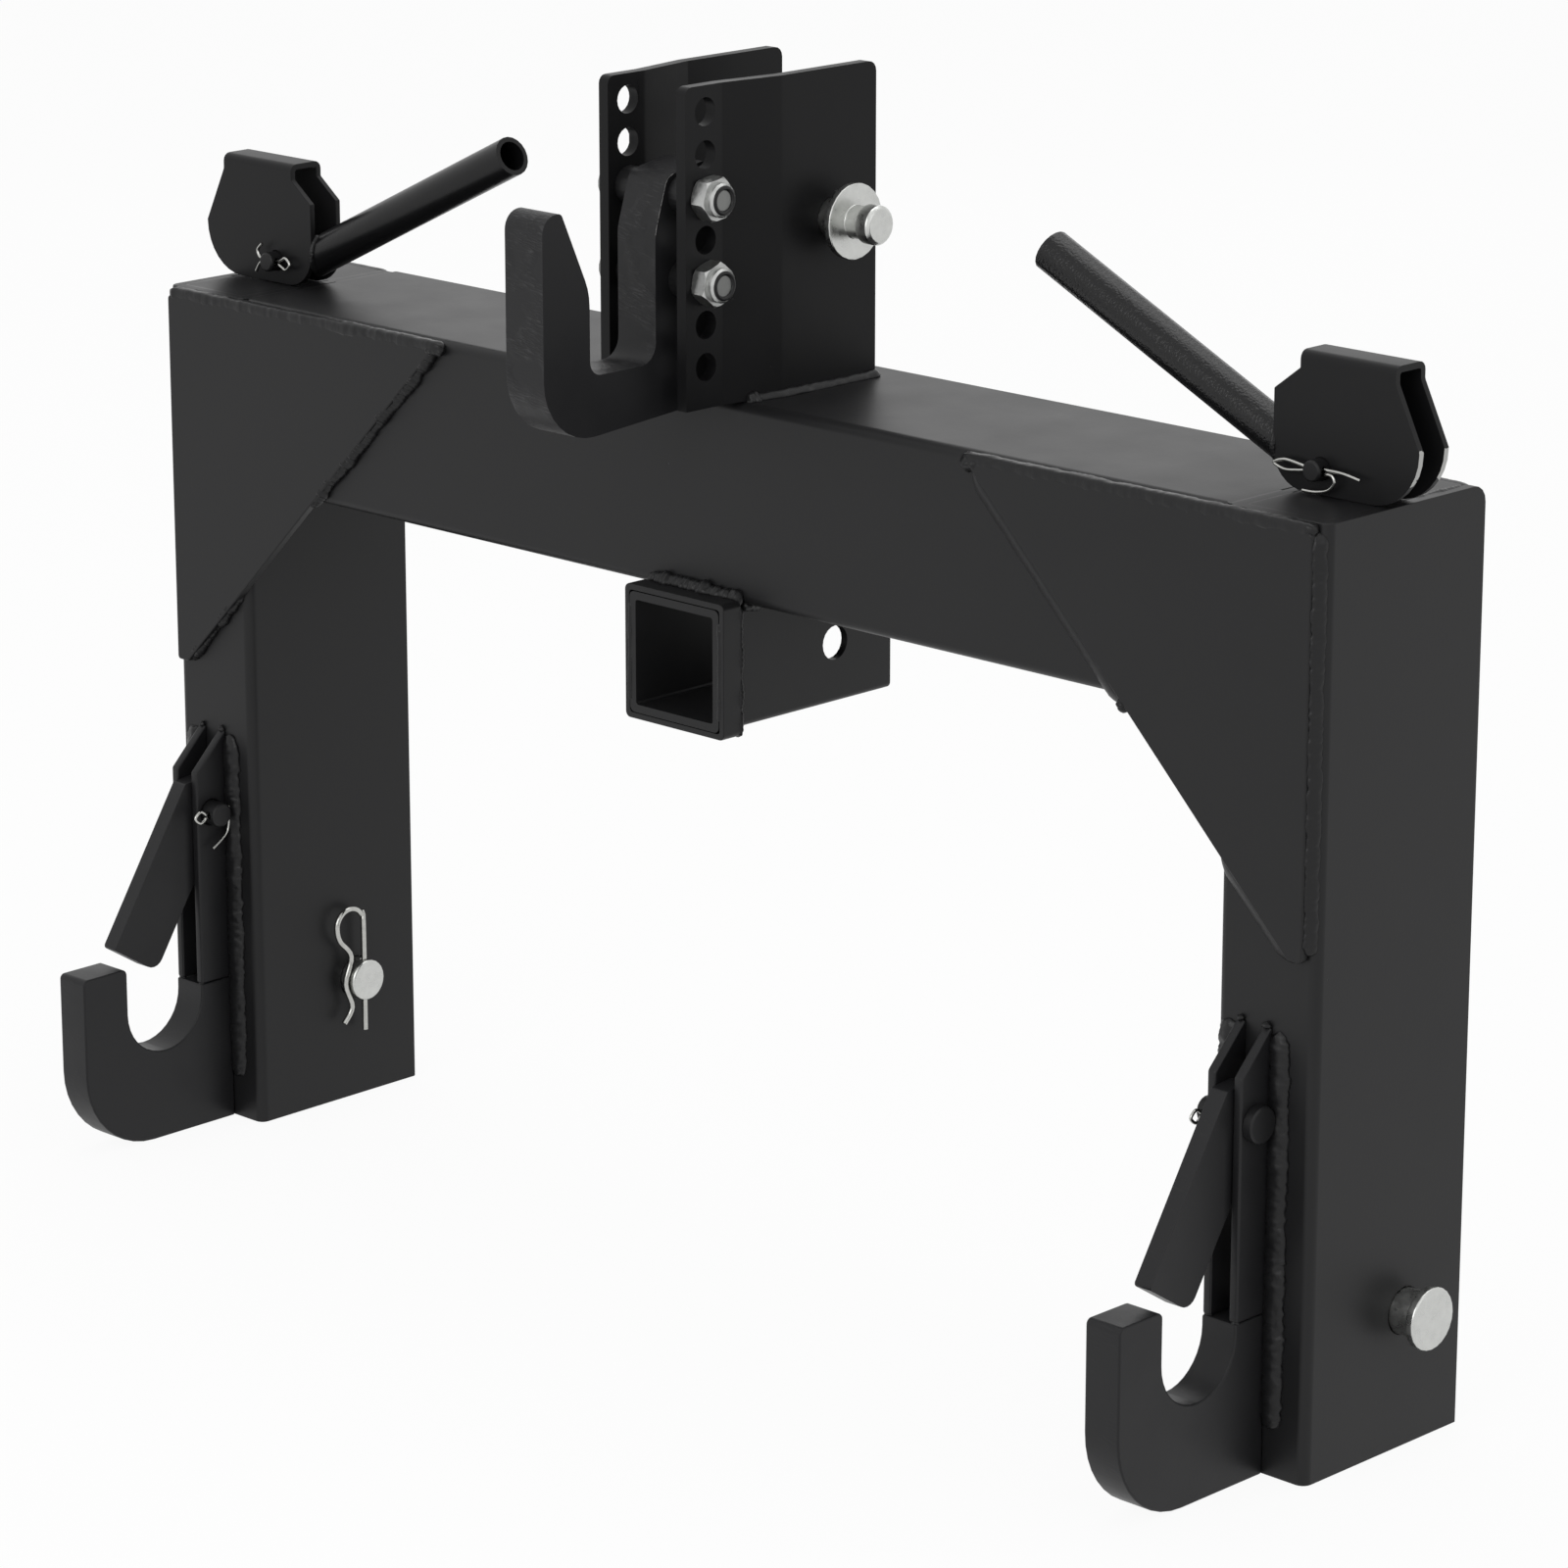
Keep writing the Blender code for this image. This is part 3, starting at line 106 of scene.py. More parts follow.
def newMaterial(name, metallic, specular):
    material = bpy.data.materials.new(name)
    material.use_nodes = True
    shader = material.node_tree.nodes["Principled BSDF"]
    shader.inputs["Metallic"].default_value = metallic
    shader.inputs["Specular IOR Level"].default_value = specular
    return material, material.node_tree, shader


# Satin polyester powder coat, sprayed and baked: near black, a soft sheen that greys at a low angle,
# orange peel about 1.6 mm across, a slightly uneven gloss over some centimetres and a few dust pits
def coatNodes(name, look):
    material, tree, shader = newMaterial(name, 0, look["specular"])
    place = addNode(tree, "ShaderNodeTexCoord")
    cloud = addNode(tree, "ShaderNodeTexNoise", {"Vector": place.outputs["Object"], "Scale": 1 / look["cloud"],
                                                 "Detail": 4, "Roughness": 0.6})
    peel = addNode(tree, "ShaderNodeTexNoise", {"Vector": place.outputs["Object"], "Scale": 1 / look["peel"],
                                                "Detail": 1})
    grit = addNode(tree, "ShaderNodeTexNoise", {"Vector": place.outputs["Object"], "Scale": 1 / look["grit"],
                                                "Detail": 2, "Roughness": 0.7})
    tone = addNode(tree, "ShaderNodeMix", {"Factor": cloud.outputs["Fac"], "A": hexColour(look["dark"]),
                                           "B": hexColour(look["light"])}, data_type="RGBA")
    gloss = addNode(tree, "ShaderNodeMapRange", {"Value": cloud.outputs["Fac"], "From Min": 0.3, "From Max": 0.7,
                                                 "To Min": look["rough"][0], "To Max": look["rough"][1]})
    waves = addNode(tree, "ShaderNodeBump", {"Height": peel.outputs["Fac"], "Distance": look["peelHeight"]})
    dust = addNode(tree, "ShaderNodeBump", {"Height": grit.outputs["Fac"], "Distance": look["gritHeight"],
                                            "Normal": waves.outputs["Normal"]})
    cells = addNode(tree, "ShaderNodeTexVoronoi", {"Vector": place.outputs["Object"], "Scale": 1 / look["pitSpacing"]})
    hollow = addNode(tree, "ShaderNodeMapRange", {"Value": cells.outputs["Distance"],
                                                  "From Max": look["pit"] / look["pitSpacing"]})
    pits = addNode(tree, "ShaderNodeBump", {"Height": hollow.outputs["Result"], "Distance": look["pitDepth"],
                                            "Normal": dust.outputs["Normal"]})
    tree.links.new(gloss.outputs["Result"], shader.inputs["Roughness"])
    tree.links.new(pits.outputs["Normal"], shader.inputs["Normal"])
    tree.links.new(tone.outputs["Result"], shader.inputs["Base Color"])
    return {"material": material, "tree": tree, "shader": shader, "tone": tone, "pits": pits, "place": place}


def powderCoat(name, look):
    return coatNodes(name, look)["material"]


# The same coat over a flame-cut edge: drag lines across the plate's thickness, in clusters, about 1 mm
# apart where the real ones are nearer 0.5 mm, their crests lightened as a painted highlight, and chips in
# the coat where an eased edge was knocked
def flameCutCoat(name, look):
    coat = coatNodes(name, look)
    tree, shader, tone, place = coat["tree"], coat["shader"], coat["tone"], coat["place"]
    tilted = addNode(tree, "ShaderNodeMapping", {"Vector": place.outputs["Object"],
                                                 "Rotation": (0, math.radians(look["dragTilt"]), 0)})
    stretched = addNode(tree, "ShaderNodeVectorMath", {0: tilted.outputs["Vector"], 1: (look["dragStretch"], 1, 1)},
                        operation="MULTIPLY")
    drag = addNode(tree, "ShaderNodeTexNoise", {"Vector": stretched.outputs["Vector"], "Scale": 1 / look["drag"],
                                                "Detail": 2, "Roughness": 0.55, "Distortion": 0.5})
    cluster = addNode(tree, "ShaderNodeTexNoise", {"Vector": place.outputs["Object"], "Scale": 1 / look["cluster"],
                                                   "Detail": 1})
    amount = addNode(tree, "ShaderNodeMapRange", {"Value": cluster.outputs["Fac"], "From Min": look["clustered"][0],
                                                  "From Max": look["clustered"][1], "To Min": look["dragLeast"],
                                                  "To Max": 1})
    normal = addNode(tree, "ShaderNodeSeparateXYZ", {"Vector": place.outputs["Normal"]})
    across = addNode(tree, "ShaderNodeMath", {0: normal.outputs["X"]}, operation="ABSOLUTE")
    onEdge = addNode(tree, "ShaderNodeMath", {0: across.outputs[0], 1: look["edgeTurn"]}, operation="LESS_THAN")
    share = addNode(tree, "ShaderNodeMath", {0: amount.outputs[0], 1: onEdge.outputs[0]}, operation="MULTIPLY")
    lines = addNode(tree, "ShaderNodeMath", {0: drag.outputs["Fac"], 1: share.outputs[0]}, operation="MULTIPLY")
    grooves = addNode(tree, "ShaderNodeBump", {"Height": lines.outputs[0], "Distance": look["dragDepth"],
                                               "Normal": coat["pits"].outputs["Normal"]})
    # Painted highlight: on the cut faces the crests of the drag lines are mixed towards a paler grey
    crest = addNode(tree, "ShaderNodeMapRange", {"Value": drag.outputs["Fac"], "From Min": look["crest"][0],
                                                 "From Max": look["crest"][1]})
    crestHighlight = addNode(tree, "ShaderNodeMath", {0: crest.outputs["Result"], 1: share.outputs[0]}, operation="MULTIPLY")
    faint = addNode(tree, "ShaderNodeMath", {0: crestHighlight.outputs[0], 1: look["crestHighlightShare"]}, operation="MULTIPLY")
    paintedCrestHighlight = addNode(tree, "ShaderNodeMix", {"Factor": faint.outputs[0], "A": tone.outputs["Result"],
                                             "B": hexColour(look["crestHighlight"])}, data_type="RGBA")
    away = addNode(tree, "ShaderNodeVectorMath", {0: place.outputs["Object"], 1: look["chipPlace"]},
                   operation="DISTANCE")
    nearby = addNode(tree, "ShaderNodeMapRange", {"Value": away.outputs["Value"], "From Min": look["chipReach"],
                                                  "From Max": look["chipReach"] * look["chipFade"],
                                                  "To Min": look["chipAmount"][0], "To Max": look["chipAmount"][1]})
    flecks = addNode(tree, "ShaderNodeTexNoise", {"Vector": place.outputs["Object"], "Scale": 1 / look["fleck"],
                                                  "Detail": 2})
    ragged = addNode(tree, "ShaderNodeMath", {0: flecks.outputs["Fac"], 1: nearby.outputs["Result"]}, operation="ADD")
    torn = addNode(tree, "ShaderNodeMapRange", {"Value": ragged.outputs[0], "From Min": look["torn"][0],
                                                "From Max": look["torn"][1]})
    bevelled = addNode(tree, "ShaderNodeMath", {0: across.outputs[0], 1: look["bevelTurn"][0],
                                                2: look["bevelTurn"][1]}, operation="COMPARE")
    chips = addNode(tree, "ShaderNodeMath", {0: torn.outputs["Result"], 1: bevelled.outputs[0]}, operation="MULTIPLY")
    worn = addNode(tree, "ShaderNodeMix", {"Factor": chips.outputs[0], "A": paintedCrestHighlight.outputs["Result"],
                                           "B": hexColour(look["steel"])}, data_type="RGBA")
    tree.links.new(chips.outputs[0], shader.inputs["Metallic"])
    tree.links.new(grooves.outputs["Normal"], shader.inputs["Normal"])
    tree.links.new(worn.outputs["Result"], shader.inputs["Base Color"])
    return coat["material"]


# Coat on the folded cams, rubbed through to bright steel where the right one's toe meets the leg
def rubbedCoat(name, look):
    coat = coatNodes(name, look)
    tree, shader, tone, place = coat["tree"], coat["shader"], coat["tone"], coat["place"]
    at = addNode(tree, "ShaderNodeSeparateXYZ", {"Vector": place.outputs["Object"]})
    normal = addNode(tree, "ShaderNodeSeparateXYZ", {"Vector": place.outputs["Normal"]})
    flat = addNode(tree, "ShaderNodeMath", {0: normal.outputs["Y"]}, operation="ABSOLUTE")
    onEdge = addNode(tree, "ShaderNodeMath", {0: flat.outputs[0], 1: look["edgeTurn"]}, operation="LESS_THAN")
    ragged = addNode(tree, "ShaderNodeTexNoise", {"Vector": place.outputs["Object"], "Scale": 1 / look["ragged"],
                                                  "Detail": 3})
    shift = addNode(tree, "ShaderNodeMath", {0: ragged.outputs["Fac"], 1: look["raggedX"], 2: at.outputs["X"]},
                    operation="MULTIPLY_ADD")
    outside = addNode(tree, "ShaderNodeMath", {0: shift.outputs[0], 1: look["wearX"]}, operation="GREATER_THAN")
    lift = addNode(tree, "ShaderNodeMath", {0: ragged.outputs["Fac"], 1: look["raggedZ"], 2: at.outputs["Z"]},
                   operation="MULTIPLY_ADD")
    below = addNode(tree, "ShaderNodeMath", {0: lift.outputs[0], 1: look["wearZ"]}, operation="LESS_THAN")
    both = addNode(tree, "ShaderNodeMath", {0: outside.outputs[0], 1: below.outputs[0]}, operation="MULTIPLY")
    bare = addNode(tree, "ShaderNodeMath", {0: both.outputs[0], 1: onEdge.outputs[0]}, operation="MULTIPLY")
    colour = addNode(tree, "ShaderNodeMix", {"Factor": bare.outputs[0], "A": tone.outputs["Result"],
                                             "B": hexColour(look["steel"])}, data_type="RGBA")
    tree.links.new(bare.outputs[0], shader.inputs["Metallic"])
    tree.links.new(colour.outputs["Result"], shader.inputs["Base Color"])
    return coat["material"]


# Plated or plain metal: faint cloudy spangle, fine turning or drawing marks along one axis
def metal(name, look):
    material, tree, shader = newMaterial(name, 1, 0.5)
    place = addNode(tree, "ShaderNodeTexCoord")
    cloud = addNode(tree, "ShaderNodeTexNoise", {"Vector": place.outputs["Object"], "Scale": 1 / look["cloud"],
                                                 "Detail": 3})
    lines = addNode(tree, "ShaderNodeVectorMath", {0: place.outputs["Object"], 1: look["marks"]},
                    operation="MULTIPLY")
    marks = addNode(tree, "ShaderNodeTexNoise", {"Vector": lines.outputs["Vector"], "Scale": 1, "Detail": 2})
    tone = addNode(tree, "ShaderNodeMix", {"Factor": cloud.outputs["Fac"], "A": hexColour(look["dark"]),
                                           "B": hexColour(look["light"])}, data_type="RGBA")
    gloss = addNode(tree, "ShaderNodeMapRange", {"Value": cloud.outputs["Fac"], "From Min": 0.3, "From Max": 0.7,
                                                 "To Min": look["rough"][0], "To Max": look["rough"][1]})
    bump = addNode(tree, "ShaderNodeBump", {"Height": marks.outputs["Fac"], "Distance": look["depth"]})
    tree.links.new(gloss.outputs["Result"], shader.inputs["Roughness"])
    tree.links.new(bump.outputs["Normal"], shader.inputs["Normal"])
    tree.links.new(tone.outputs["Result"], shader.inputs["Base Color"])
    return material


coatLook = {"dark": "#151516", "light": "#1b1b1c", "specular": 0.26, "rough": (0.40, 0.45), "cloud": 0.045,
            "peel": 0.0016, "peelHeight": 0.000022, "grit": 0.0005, "gritHeight": 0.000008,
            "pitSpacing": 0.035, "pit": 0.0007, "pitDepth": 0.0003}
satinCoat = powderCoat("satinPowderCoat", coatLook)
dullCoat = powderCoat("dullPowderCoat", coatLook | {"dark": "#111112", "light": "#161617", "specular": 0.14,
                                                    "rough": (0.38, 0.5)})
beadCoat = powderCoat("coatOverWeld", coatLook | {"rough": (0.3, 0.42), "grit": 0.0012, "gritHeight": 0.00008})
textureCoat = powderCoat("texturedPowderCoat", coatLook | {
    "dark": "#101011", "light": "#161617", "specular": 0.3, "rough": (0.18, 0.24), "peel": 0.0012,
    "peelHeight": 0.00034, "gritHeight": 0.00005})
smoothCoat = powderCoat("smoothPowderCoat", coatLook | {
    "dark": "#101011", "light": "#161617", "specular": 0.22, "rough": (0.26, 0.34)})
cutLook = coatLook | {"dark": "#18181a", "light": "#1f1f20", "specular": 0.25, "rough": (0.36, 0.5), "drag": 0.0011,
                      "dragDepth": 0.00055, "dragTilt": -9, "dragStretch": 0.16, "dragLeast": 0.08,
                      "cluster": 0.016, "clustered": (0.44, 0.58), "edgeTurn": 0.35, "crest": (0.57, 0.68),
                      "crestHighlight": "#444445", "crestHighlightShare": 0.5, "steel": "#b9b9b7",
                      "chipPlace": (0.0125, -0.034, 0.542), "chipReach": 0.014, "chipFade": 1.5,
                      "chipAmount": (0.17, -0.3), "fleck": 0.0014, "torn": (0.57, 0.60), "bevelTurn": (0.6, 0.37)}
topHookCoat = flameCutCoat("powderCoatOnRoughFlameCut", cutLook)
# The lower hooks' cut faces take shallower drag lines and a fainter painted highlight on their crests
cutCoat = flameCutCoat("powderCoatOnFlameCutPlate", cutLook | {"dragDepth": 0.00008, "crestHighlight": "#242425",
                                                               "chipReach": 0.0001})
camCoat = rubbedCoat("rubbedPowderCoat", coatLook | {
    "dark": "#131314", "light": "#19191a", "specular": 0.17, "wearX": 0.403, "wearZ": 0.477,
    "steel": "#a9a9a7", "edgeTurn": 0.6, "ragged": 0.004, "raggedX": 0.012, "raggedZ": 0.010})
zinc = metal("brightZincPlate", {"dark": "#b4b5b3", "light": "#d2d3d0", "rough": (0.24, 0.36), "cloud": 0.004,
                                 "marks": (1500, 1500, 1500), "depth": 0.00002})
nutZinc = metal("zincPlateOnNuts", {"dark": "#a4a5a4", "light": "#c4c5c3", "rough": (0.32, 0.42), "cloud": 0.002,
                                    "marks": (900, 900, 900), "depth": 0.00006})
dullZinc = metal("dullZincOnBolts", {"dark": "#7a7b7a", "light": "#8e8f8d", "rough": (0.45, 0.55), "cloud": 0.002,
                                     "marks": (900, 900, 900), "depth": 0.00003})
oiledSteel = metal("oiledTurnedSteel", {"dark": "#4a4a49", "light": "#6a6a68", "rough": (0.3, 0.42),
                                        "cloud": 0.006, "marks": (2500, 120, 120), "depth": 0.00002})
springWire = metal("brightSpringWire", {"dark": "#9c9c99", "light": "#c4c4c0", "rough": (0.12, 0.2),
                                        "cloud": 0.003, "marks": (700, 700, 700), "depth": 0.00001})
nylon = powderCoat("darkNylon", coatLook | {"dark": "#0c0c0d", "light": "#121213", "specular": 0.3,
                                            "rough": (0.3, 0.4)})
print("materials made")


def plainMesh(obj, name):
    bpy.context.view_layer.update()
    graph = bpy.context.evaluated_depsgraph_get()
    mesh = bpy.data.meshes.new_from_object(obj.evaluated_get(graph), preserve_all_data_layers=True, depsgraph=graph)
    bpy.data.objects.remove(obj)
    piece = bpy.data.objects.new(name, mesh)
    scene.collection.objects.link(piece)
    return piece


easing = {"mergeWithin": 1e-6, "flatWithin": 1, "sharpFrom": 28, "segments": 2}


# A CAD node's copy with its edges eased, as cut and coated steel has them. Cuts beside its bends, at
# the given depths, keep the bends' smooth shading off the flat faces.
def dressNode(node, material, edge, cuts=()):
    bm = bmesh.new()
    bm.from_mesh(frame["nodes"][node].data)
    bmesh.ops.remove_doubles(bm, verts=bm.verts, dist=easing["mergeWithin"])
    bmesh.ops.dissolve_limit(bm, angle_limit=math.radians(easing["flatWithin"]), verts=bm.verts, edges=bm.edges)
    for depth in cuts:
        bmesh.ops.bisect_plane(bm, geom=[*bm.verts, *bm.edges, *bm.faces], plane_co=(0, depth, 0),
                               plane_no=(0, 1, 0))
    mesh = bpy.data.meshes.new(node)
    bm.to_mesh(mesh)
    bm.free()
    mesh.materials.clear()
    mesh.materials.append(material)
    mesh.shade_smooth()
    rough = bpy.data.objects.new("rough", mesh)
    scene.collection.objects.link(rough)
    bevel = rough.modifiers.new("easedEdges", "BEVEL")
    bevel.width = edge
    bevel.segments = easing["segments"]
    bevel.limit_method = "ANGLE"
    bevel.angle_limit = math.radians(easing["sharpFrom"])
    weighted = rough.modifiers.new("flatFaces", "WEIGHTED_NORMAL")
    weighted.keep_sharp = True
    piece = plainMesh(rough, f"{node}_finished")
    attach(piece, bodyOf(node))
    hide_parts(node)


weldedFrame = {"edge": 0.0008, "nodes": ["cross_beam", "leg_right", "leg_left", "leg_cap_right", "leg_cap_left",
                                         "corner_plate_right", "corner_plate_left", "spring_stop_right",
                                         "spring_stop_left"]}
receiver = {"edge": 0.0005, "nodes": ["receiver_tube", "receiver_collar"]}
mast = {"edge": 0.0006, "besideBends": (-0.0142, -0.003, 0.016, 0.033),
        "nodes": ["mast_plate_right", "mast_plate_left"]}
hooks = {"edge": 0.0010, "top": ["top_hook"], "low": ["lower_hook_right", "lower_hook_left"]}
latches = {"edge": 0.0011, "nodes": ["latch_right", "latch_left", "latch_cheek_right_inner",
                                     "latch_cheek_right_outer", "latch_cheek_left_inner",
                                     "latch_cheek_left_outer"]}
levers = {"edge": 0.0005, "tubeEdge": 0.0004}
pins = {"edge": 0.0005, "zinc": ["lower_link_pin_right", "lower_link_pin_left", "top_link_pin"],
        "nuts": ["top_hook_nut_upper", "top_hook_nut_lower"], "bolts": ["top_hook_bolt_upper", "top_hook_bolt_lower"],
        "black": ["latch_pin_right", "latch_pin_left", "cam_pin_right", "cam_pin_left"],
        "steel": ["lift_rod_right", "lift_rod_left", "rod_clevis_right", "rod_clevis_left"]}

for group, key, material in ((weldedFrame, "nodes", satinCoat), (receiver, "nodes", satinCoat),
                             (hooks, "top", topHookCoat), (hooks, "low", cutCoat), (latches, "nodes", cutCoat)):
    for node in group[key]:
        dressNode(node, material, group["edge"])
for node in mast["nodes"]:
    dressNode(node, dullCoat, mast["edge"], cuts=mast["besideBends"])
for side in sides:
    dressNode(f"cam_{side}", camCoat, levers["edge"])
    dressNode(f"handle_{side}", textureCoat if side == "right" else smoothCoat, levers["tubeEdge"])
for key, material in (("zinc", zinc), ("nuts", nutZinc), ("bolts", dullZinc)):
    for node in pins[key]:
        dressNode(node, material, pins["edge"])
for node in pins["black"]:
    dressNode(node, satinCoat, pins["edge"])
for node in pins["steel"]:
    dressNode(node, oiledSteel, pins["edge"])
print("coated and plated pieces made")

# Small inner pieces keep their CAD shape and take the finish
innerFinish = {"spacer": satinCoat, "roll_pin": zinc, "clevis_pin": oiledSteel}
for word, finish in innerFinish.items():
    for node in [node for node in frame["nodes"] if word in node]:
        frame["nodes"][node].data.materials.clear()
        frame["nodes"][node].data.materials.append(finish)


def pathObject(name, routes):
    points, edges = [], []
    for route in routes:
        start = len(points)
        points += [tuple(point) for point in route]
        edges += [(index, index + 1) for index in range(start, len(points) - 1)]
    mesh = bpy.data.meshes.new(name)
    mesh.from_pydata(points, edges, [])
    obj = bpy.data.objects.new(name, mesh)
    scene.collection.objects.link(obj)
    return obj


def newTree(name, inputs):
    tree = bpy.data.node_groups.new(name, "GeometryNodeTree")
    tree.interface.new_socket("Geometry", in_out="INPUT", socket_type="NodeSocketGeometry")
    for label, kind in inputs.items():
        tree.interface.new_socket(label, in_out="INPUT", socket_type=kind)
    tree.interface.new_socket("Geometry", in_out="OUTPUT", socket_type="NodeSocketGeometry")
    return tree


def runTree(obj, tree, values, name):
    modifier = obj.modifiers.new(tree.name, "NODES")
    modifier.node_group = tree
    keys = {item.name: item.identifier for item in tree.interface.items_tree if item.in_out == "INPUT"}
    for label, value in values.items():
        modifier[keys[label]] = value
    return plainMesh(obj, name)


# Round wire of one gauge along a path
wireSides = 14
wireTree = newTree("roundWire", {"Gauge": "NodeSocketFloat", "Finish": "NodeSocketMaterial"})
given = addNode(wireTree, "NodeGroupInput").outputs
asCurve = addNode(wireTree, "GeometryNodeMeshToCurve", {"Mesh": given["Geometry"]})
half = addNode(wireTree, "ShaderNodeMath", {0: given["Gauge"], 1: 0.5}, operation="MULTIPLY")
section = addNode(wireTree, "GeometryNodeCurvePrimitiveCircle", {"Resolution": wireSides,
                                                                 "Radius": half.outputs[0]})
swept = addNode(wireTree, "GeometryNodeCurveToMesh", {"Curve": asCurve.outputs["Curve"],
                                                      "Profile Curve": section.outputs["Curve"],
                                                      "Fill Caps": True})
shaded = addNode(wireTree, "GeometryNodeSetShadeSmooth", {"Geometry": swept.outputs["Mesh"]})
real = addNode(wireTree, "GeometryNodeRealizeInstances", {"Geometry": shaded.outputs["Geometry"]})
coated = addNode(wireTree, "GeometryNodeSetMaterial", {"Geometry": real.outputs["Geometry"],
                                                       "Material": given["Finish"]})
addNode(wireTree, "NodeGroupOutput", {"Geometry": coated.outputs["Geometry"]})


def smooth(points, steps=5):
    ends = [points[0], *points, points[-1]]
    path = []
    for a, b, c, d in zip(ends, ends[1:], ends[2:], ends[3:]):
        for part in range(steps):
            t = part / steps
            path.append(0.5 * (2 * b + (c - a) * t + (2 * a - 5 * b + 4 * c - d) * t ** 2
                               + (3 * b - a - 3 * c + d) * t ** 3))
    return [*path, points[-1]]


# A round wire in place of a CAD node
def wirePiece(node, points, gauge):
    piece = runTree(pathObject(node, [points]), wireTree, {"Gauge": gauge, "Finish": springWire}, f"{node}_wire")
    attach(piece, bodyOf(node))
    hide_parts(node)
    return piece


# Split pins: each point of a route is given out along its cross hole, and up
splitPins = {
    "wire": 0.0016, "lane": 0.0009, "camCentre": (0.347, 0.037, 0.457), "camPin": 0.010, "latchPin": 0.0127,
    "latchCentre": (-0.0145, -0.011, 0.1705),
    "longEye": [(-0.010, 0.0015), (-0.0175, 0.0022), (-0.0235, 0.0), (-0.0175, -0.0022), (-0.010, -0.0015)],
    "shortEye": [(-0.0088, 0.0020), (-0.0116, 0.0030), (-0.0148, 0.0), (-0.0116, -0.0030), (-0.0088, -0.0020)],
    "camRight": ([(0.015, 0.0008), (0.025, -0.0008)],
                 [(0.0095, -0.0014), (0.0105, -0.0045), (0.0070, -0.0080), (0.0, -0.0098), (-0.007, -0.0100)]),
    "camLeft": ([(0.0085, 0.0016), (0.0100, 0.0050), (0.0065, 0.0085)], [(0.0085, -0.0020), (0.0115, -0.0065)]),
    "latch": ([(0.0076, 0.0012), (0.0082, 0.0026)],
              [(0.0076, -0.0030), (0.0078, -0.0075), (0.0055, -0.0125), (-0.0035, -0.0185)]),
}


def splitPin(node, centre, outward, pinDiameter, eye, legs):
    upper, lower = splitPins[legs]
    lane = splitPins["lane"]
    gate = pinDiameter / 2 + splitPins["wire"] / 2
    route = [*reversed(upper), (gate, lane), (0, lane), (-gate, lane), *splitPins[eye],
             (-gate, -lane), (0, -lane), (gate, -lane), *lower]
    points = [Vector(centre) + Vector(outward) * point.x + Vector((0, 0, point.y))
              for point in smooth([Vector(place) for place in route])]
    wirePiece(node, points, splitPins["wire"])


for side, sign in sides.items():
    x, y, z = splitPins["camCentre"]
    eye, legs = ("longEye", "camRight") if side == "right" else ("shortEye", "camLeft")
    splitPin(f"cam_cotter_{side}", (sign * x, y, z), (sign, 0, 0), splitPins["camPin"], eye, legs)
for side, sign in sides.items():
    x, y, z = splitPins["latchCentre"]
    splitPin(f"latch_cotter_{side}", (hookX[side] + sign * x, y, z), (0, 1, 0), splitPins["latchPin"], "shortEye",
             "latch")

springClips = {
    "wire": 0.003, "gap": 0.0003, "arcSteps": 6, "loop": 0.0093, "foot": 2.2, "shoulder": 2.45, "neck": (-1.8, 1.9),
    "bentLeg": [(-0.70, 1.12), (-1.03, 0.0), (-0.70, -1.06), (-1.15, -1.70)],
    "places": {"lower_link_clip_right": ((0.322, 0.069, 0.0665), 0.0222),
               "lower_link_clip_left": ((-0.322, 0.069, 0.0665), 0.0222),
               "top_link_clip": ((-0.045, 0.058, 0.526), 0.019)},
}
for node, (centre, pinDiameter) in springClips["places"].items():
    beside = pinDiameter / 2 + springClips["wire"] / 2 + springClips["gap"]
    shoulder = Vector((0, beside * springClips["shoulder"]))
    spoke = Vector((springClips["loop"], 0))
    steps = springClips["arcSteps"]
    arc = [shoulder - spoke + Matrix.Rotation(math.pi * part / steps, 2) @ spoke for part in range(1, steps + 1)]
    neck = Vector((springClips["loop"] * springClips["neck"][0], beside * springClips["neck"][1]))
    bent = [Vector(place) * beside for place in springClips["bentLeg"]]
    route = smooth([Vector((0, -beside * springClips["foot"])), shoulder, *arc, neck, *bent])
    wirePiece(node, [Vector(centre) + Vector((0, across, up)) for across, up in route], springClips["wire"])

# The return springs, with closed ends, wound as round wire in the CAD springs' place
coils = {"wire": 0.0025, "turns": 8, "perTurn": 20, "endPitch": 0.00275, "rodRise": 0.0468}
for side in sides:
    low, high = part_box(f"return_spring_{side}")
    axis = (Vector(low) + Vector(high)) / 2
    radius = (high[0] - low[0] - coils["wire"]) / 2
    travel = high[2] - low[2] - coils["wire"]
    points = []
    for part in range(coils["turns"] * coils["perTurn"] + 1):
        turn = part / coils["perTurn"]
        spread = min(max(turn - 1, 0), coils["turns"] - 2) / (coils["turns"] - 2)
        closed = min(turn, 1) + max(turn - coils["turns"] + 1, 0)
        rise = closed * coils["endPitch"] + spread * (travel - 2 * coils["endPitch"])
        points.append((axis.x + radius * math.cos(math.tau * turn), axis.y + radius * math.sin(math.tau * turn),
                       low[2] + coils["wire"] / 2 + rise))
    piece = wirePiece(f"return_spring_{side}", points, coils["wire"])
    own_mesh(piece)

# Nylon ring inside each lock nut's collar
lockNuts = {"x": 0.0404, "radius": 0.00600, "gauge": 0.0024, "y": -0.021, "z": {"lower": 0.505, "upper": 0.545},
            "steps": 40}
for place, z in lockNuts["z"].items():
    ring = []
    for part in range(lockNuts["steps"] + 1):
        turn = math.tau * part / lockNuts["steps"]
        ring.append((lockNuts["x"], lockNuts["y"] + lockNuts["radius"] * math.cos(turn),
                     z + lockNuts["radius"] * math.sin(turn)))
    piece = runTree(pathObject(f"nylon_{place}", [ring]), wireTree, {"Gauge": lockNuts["gauge"], "Finish": nylon},
                    f"nut_insert_{place}")
    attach(piece, "frame")
print("pins, clips and wires made")

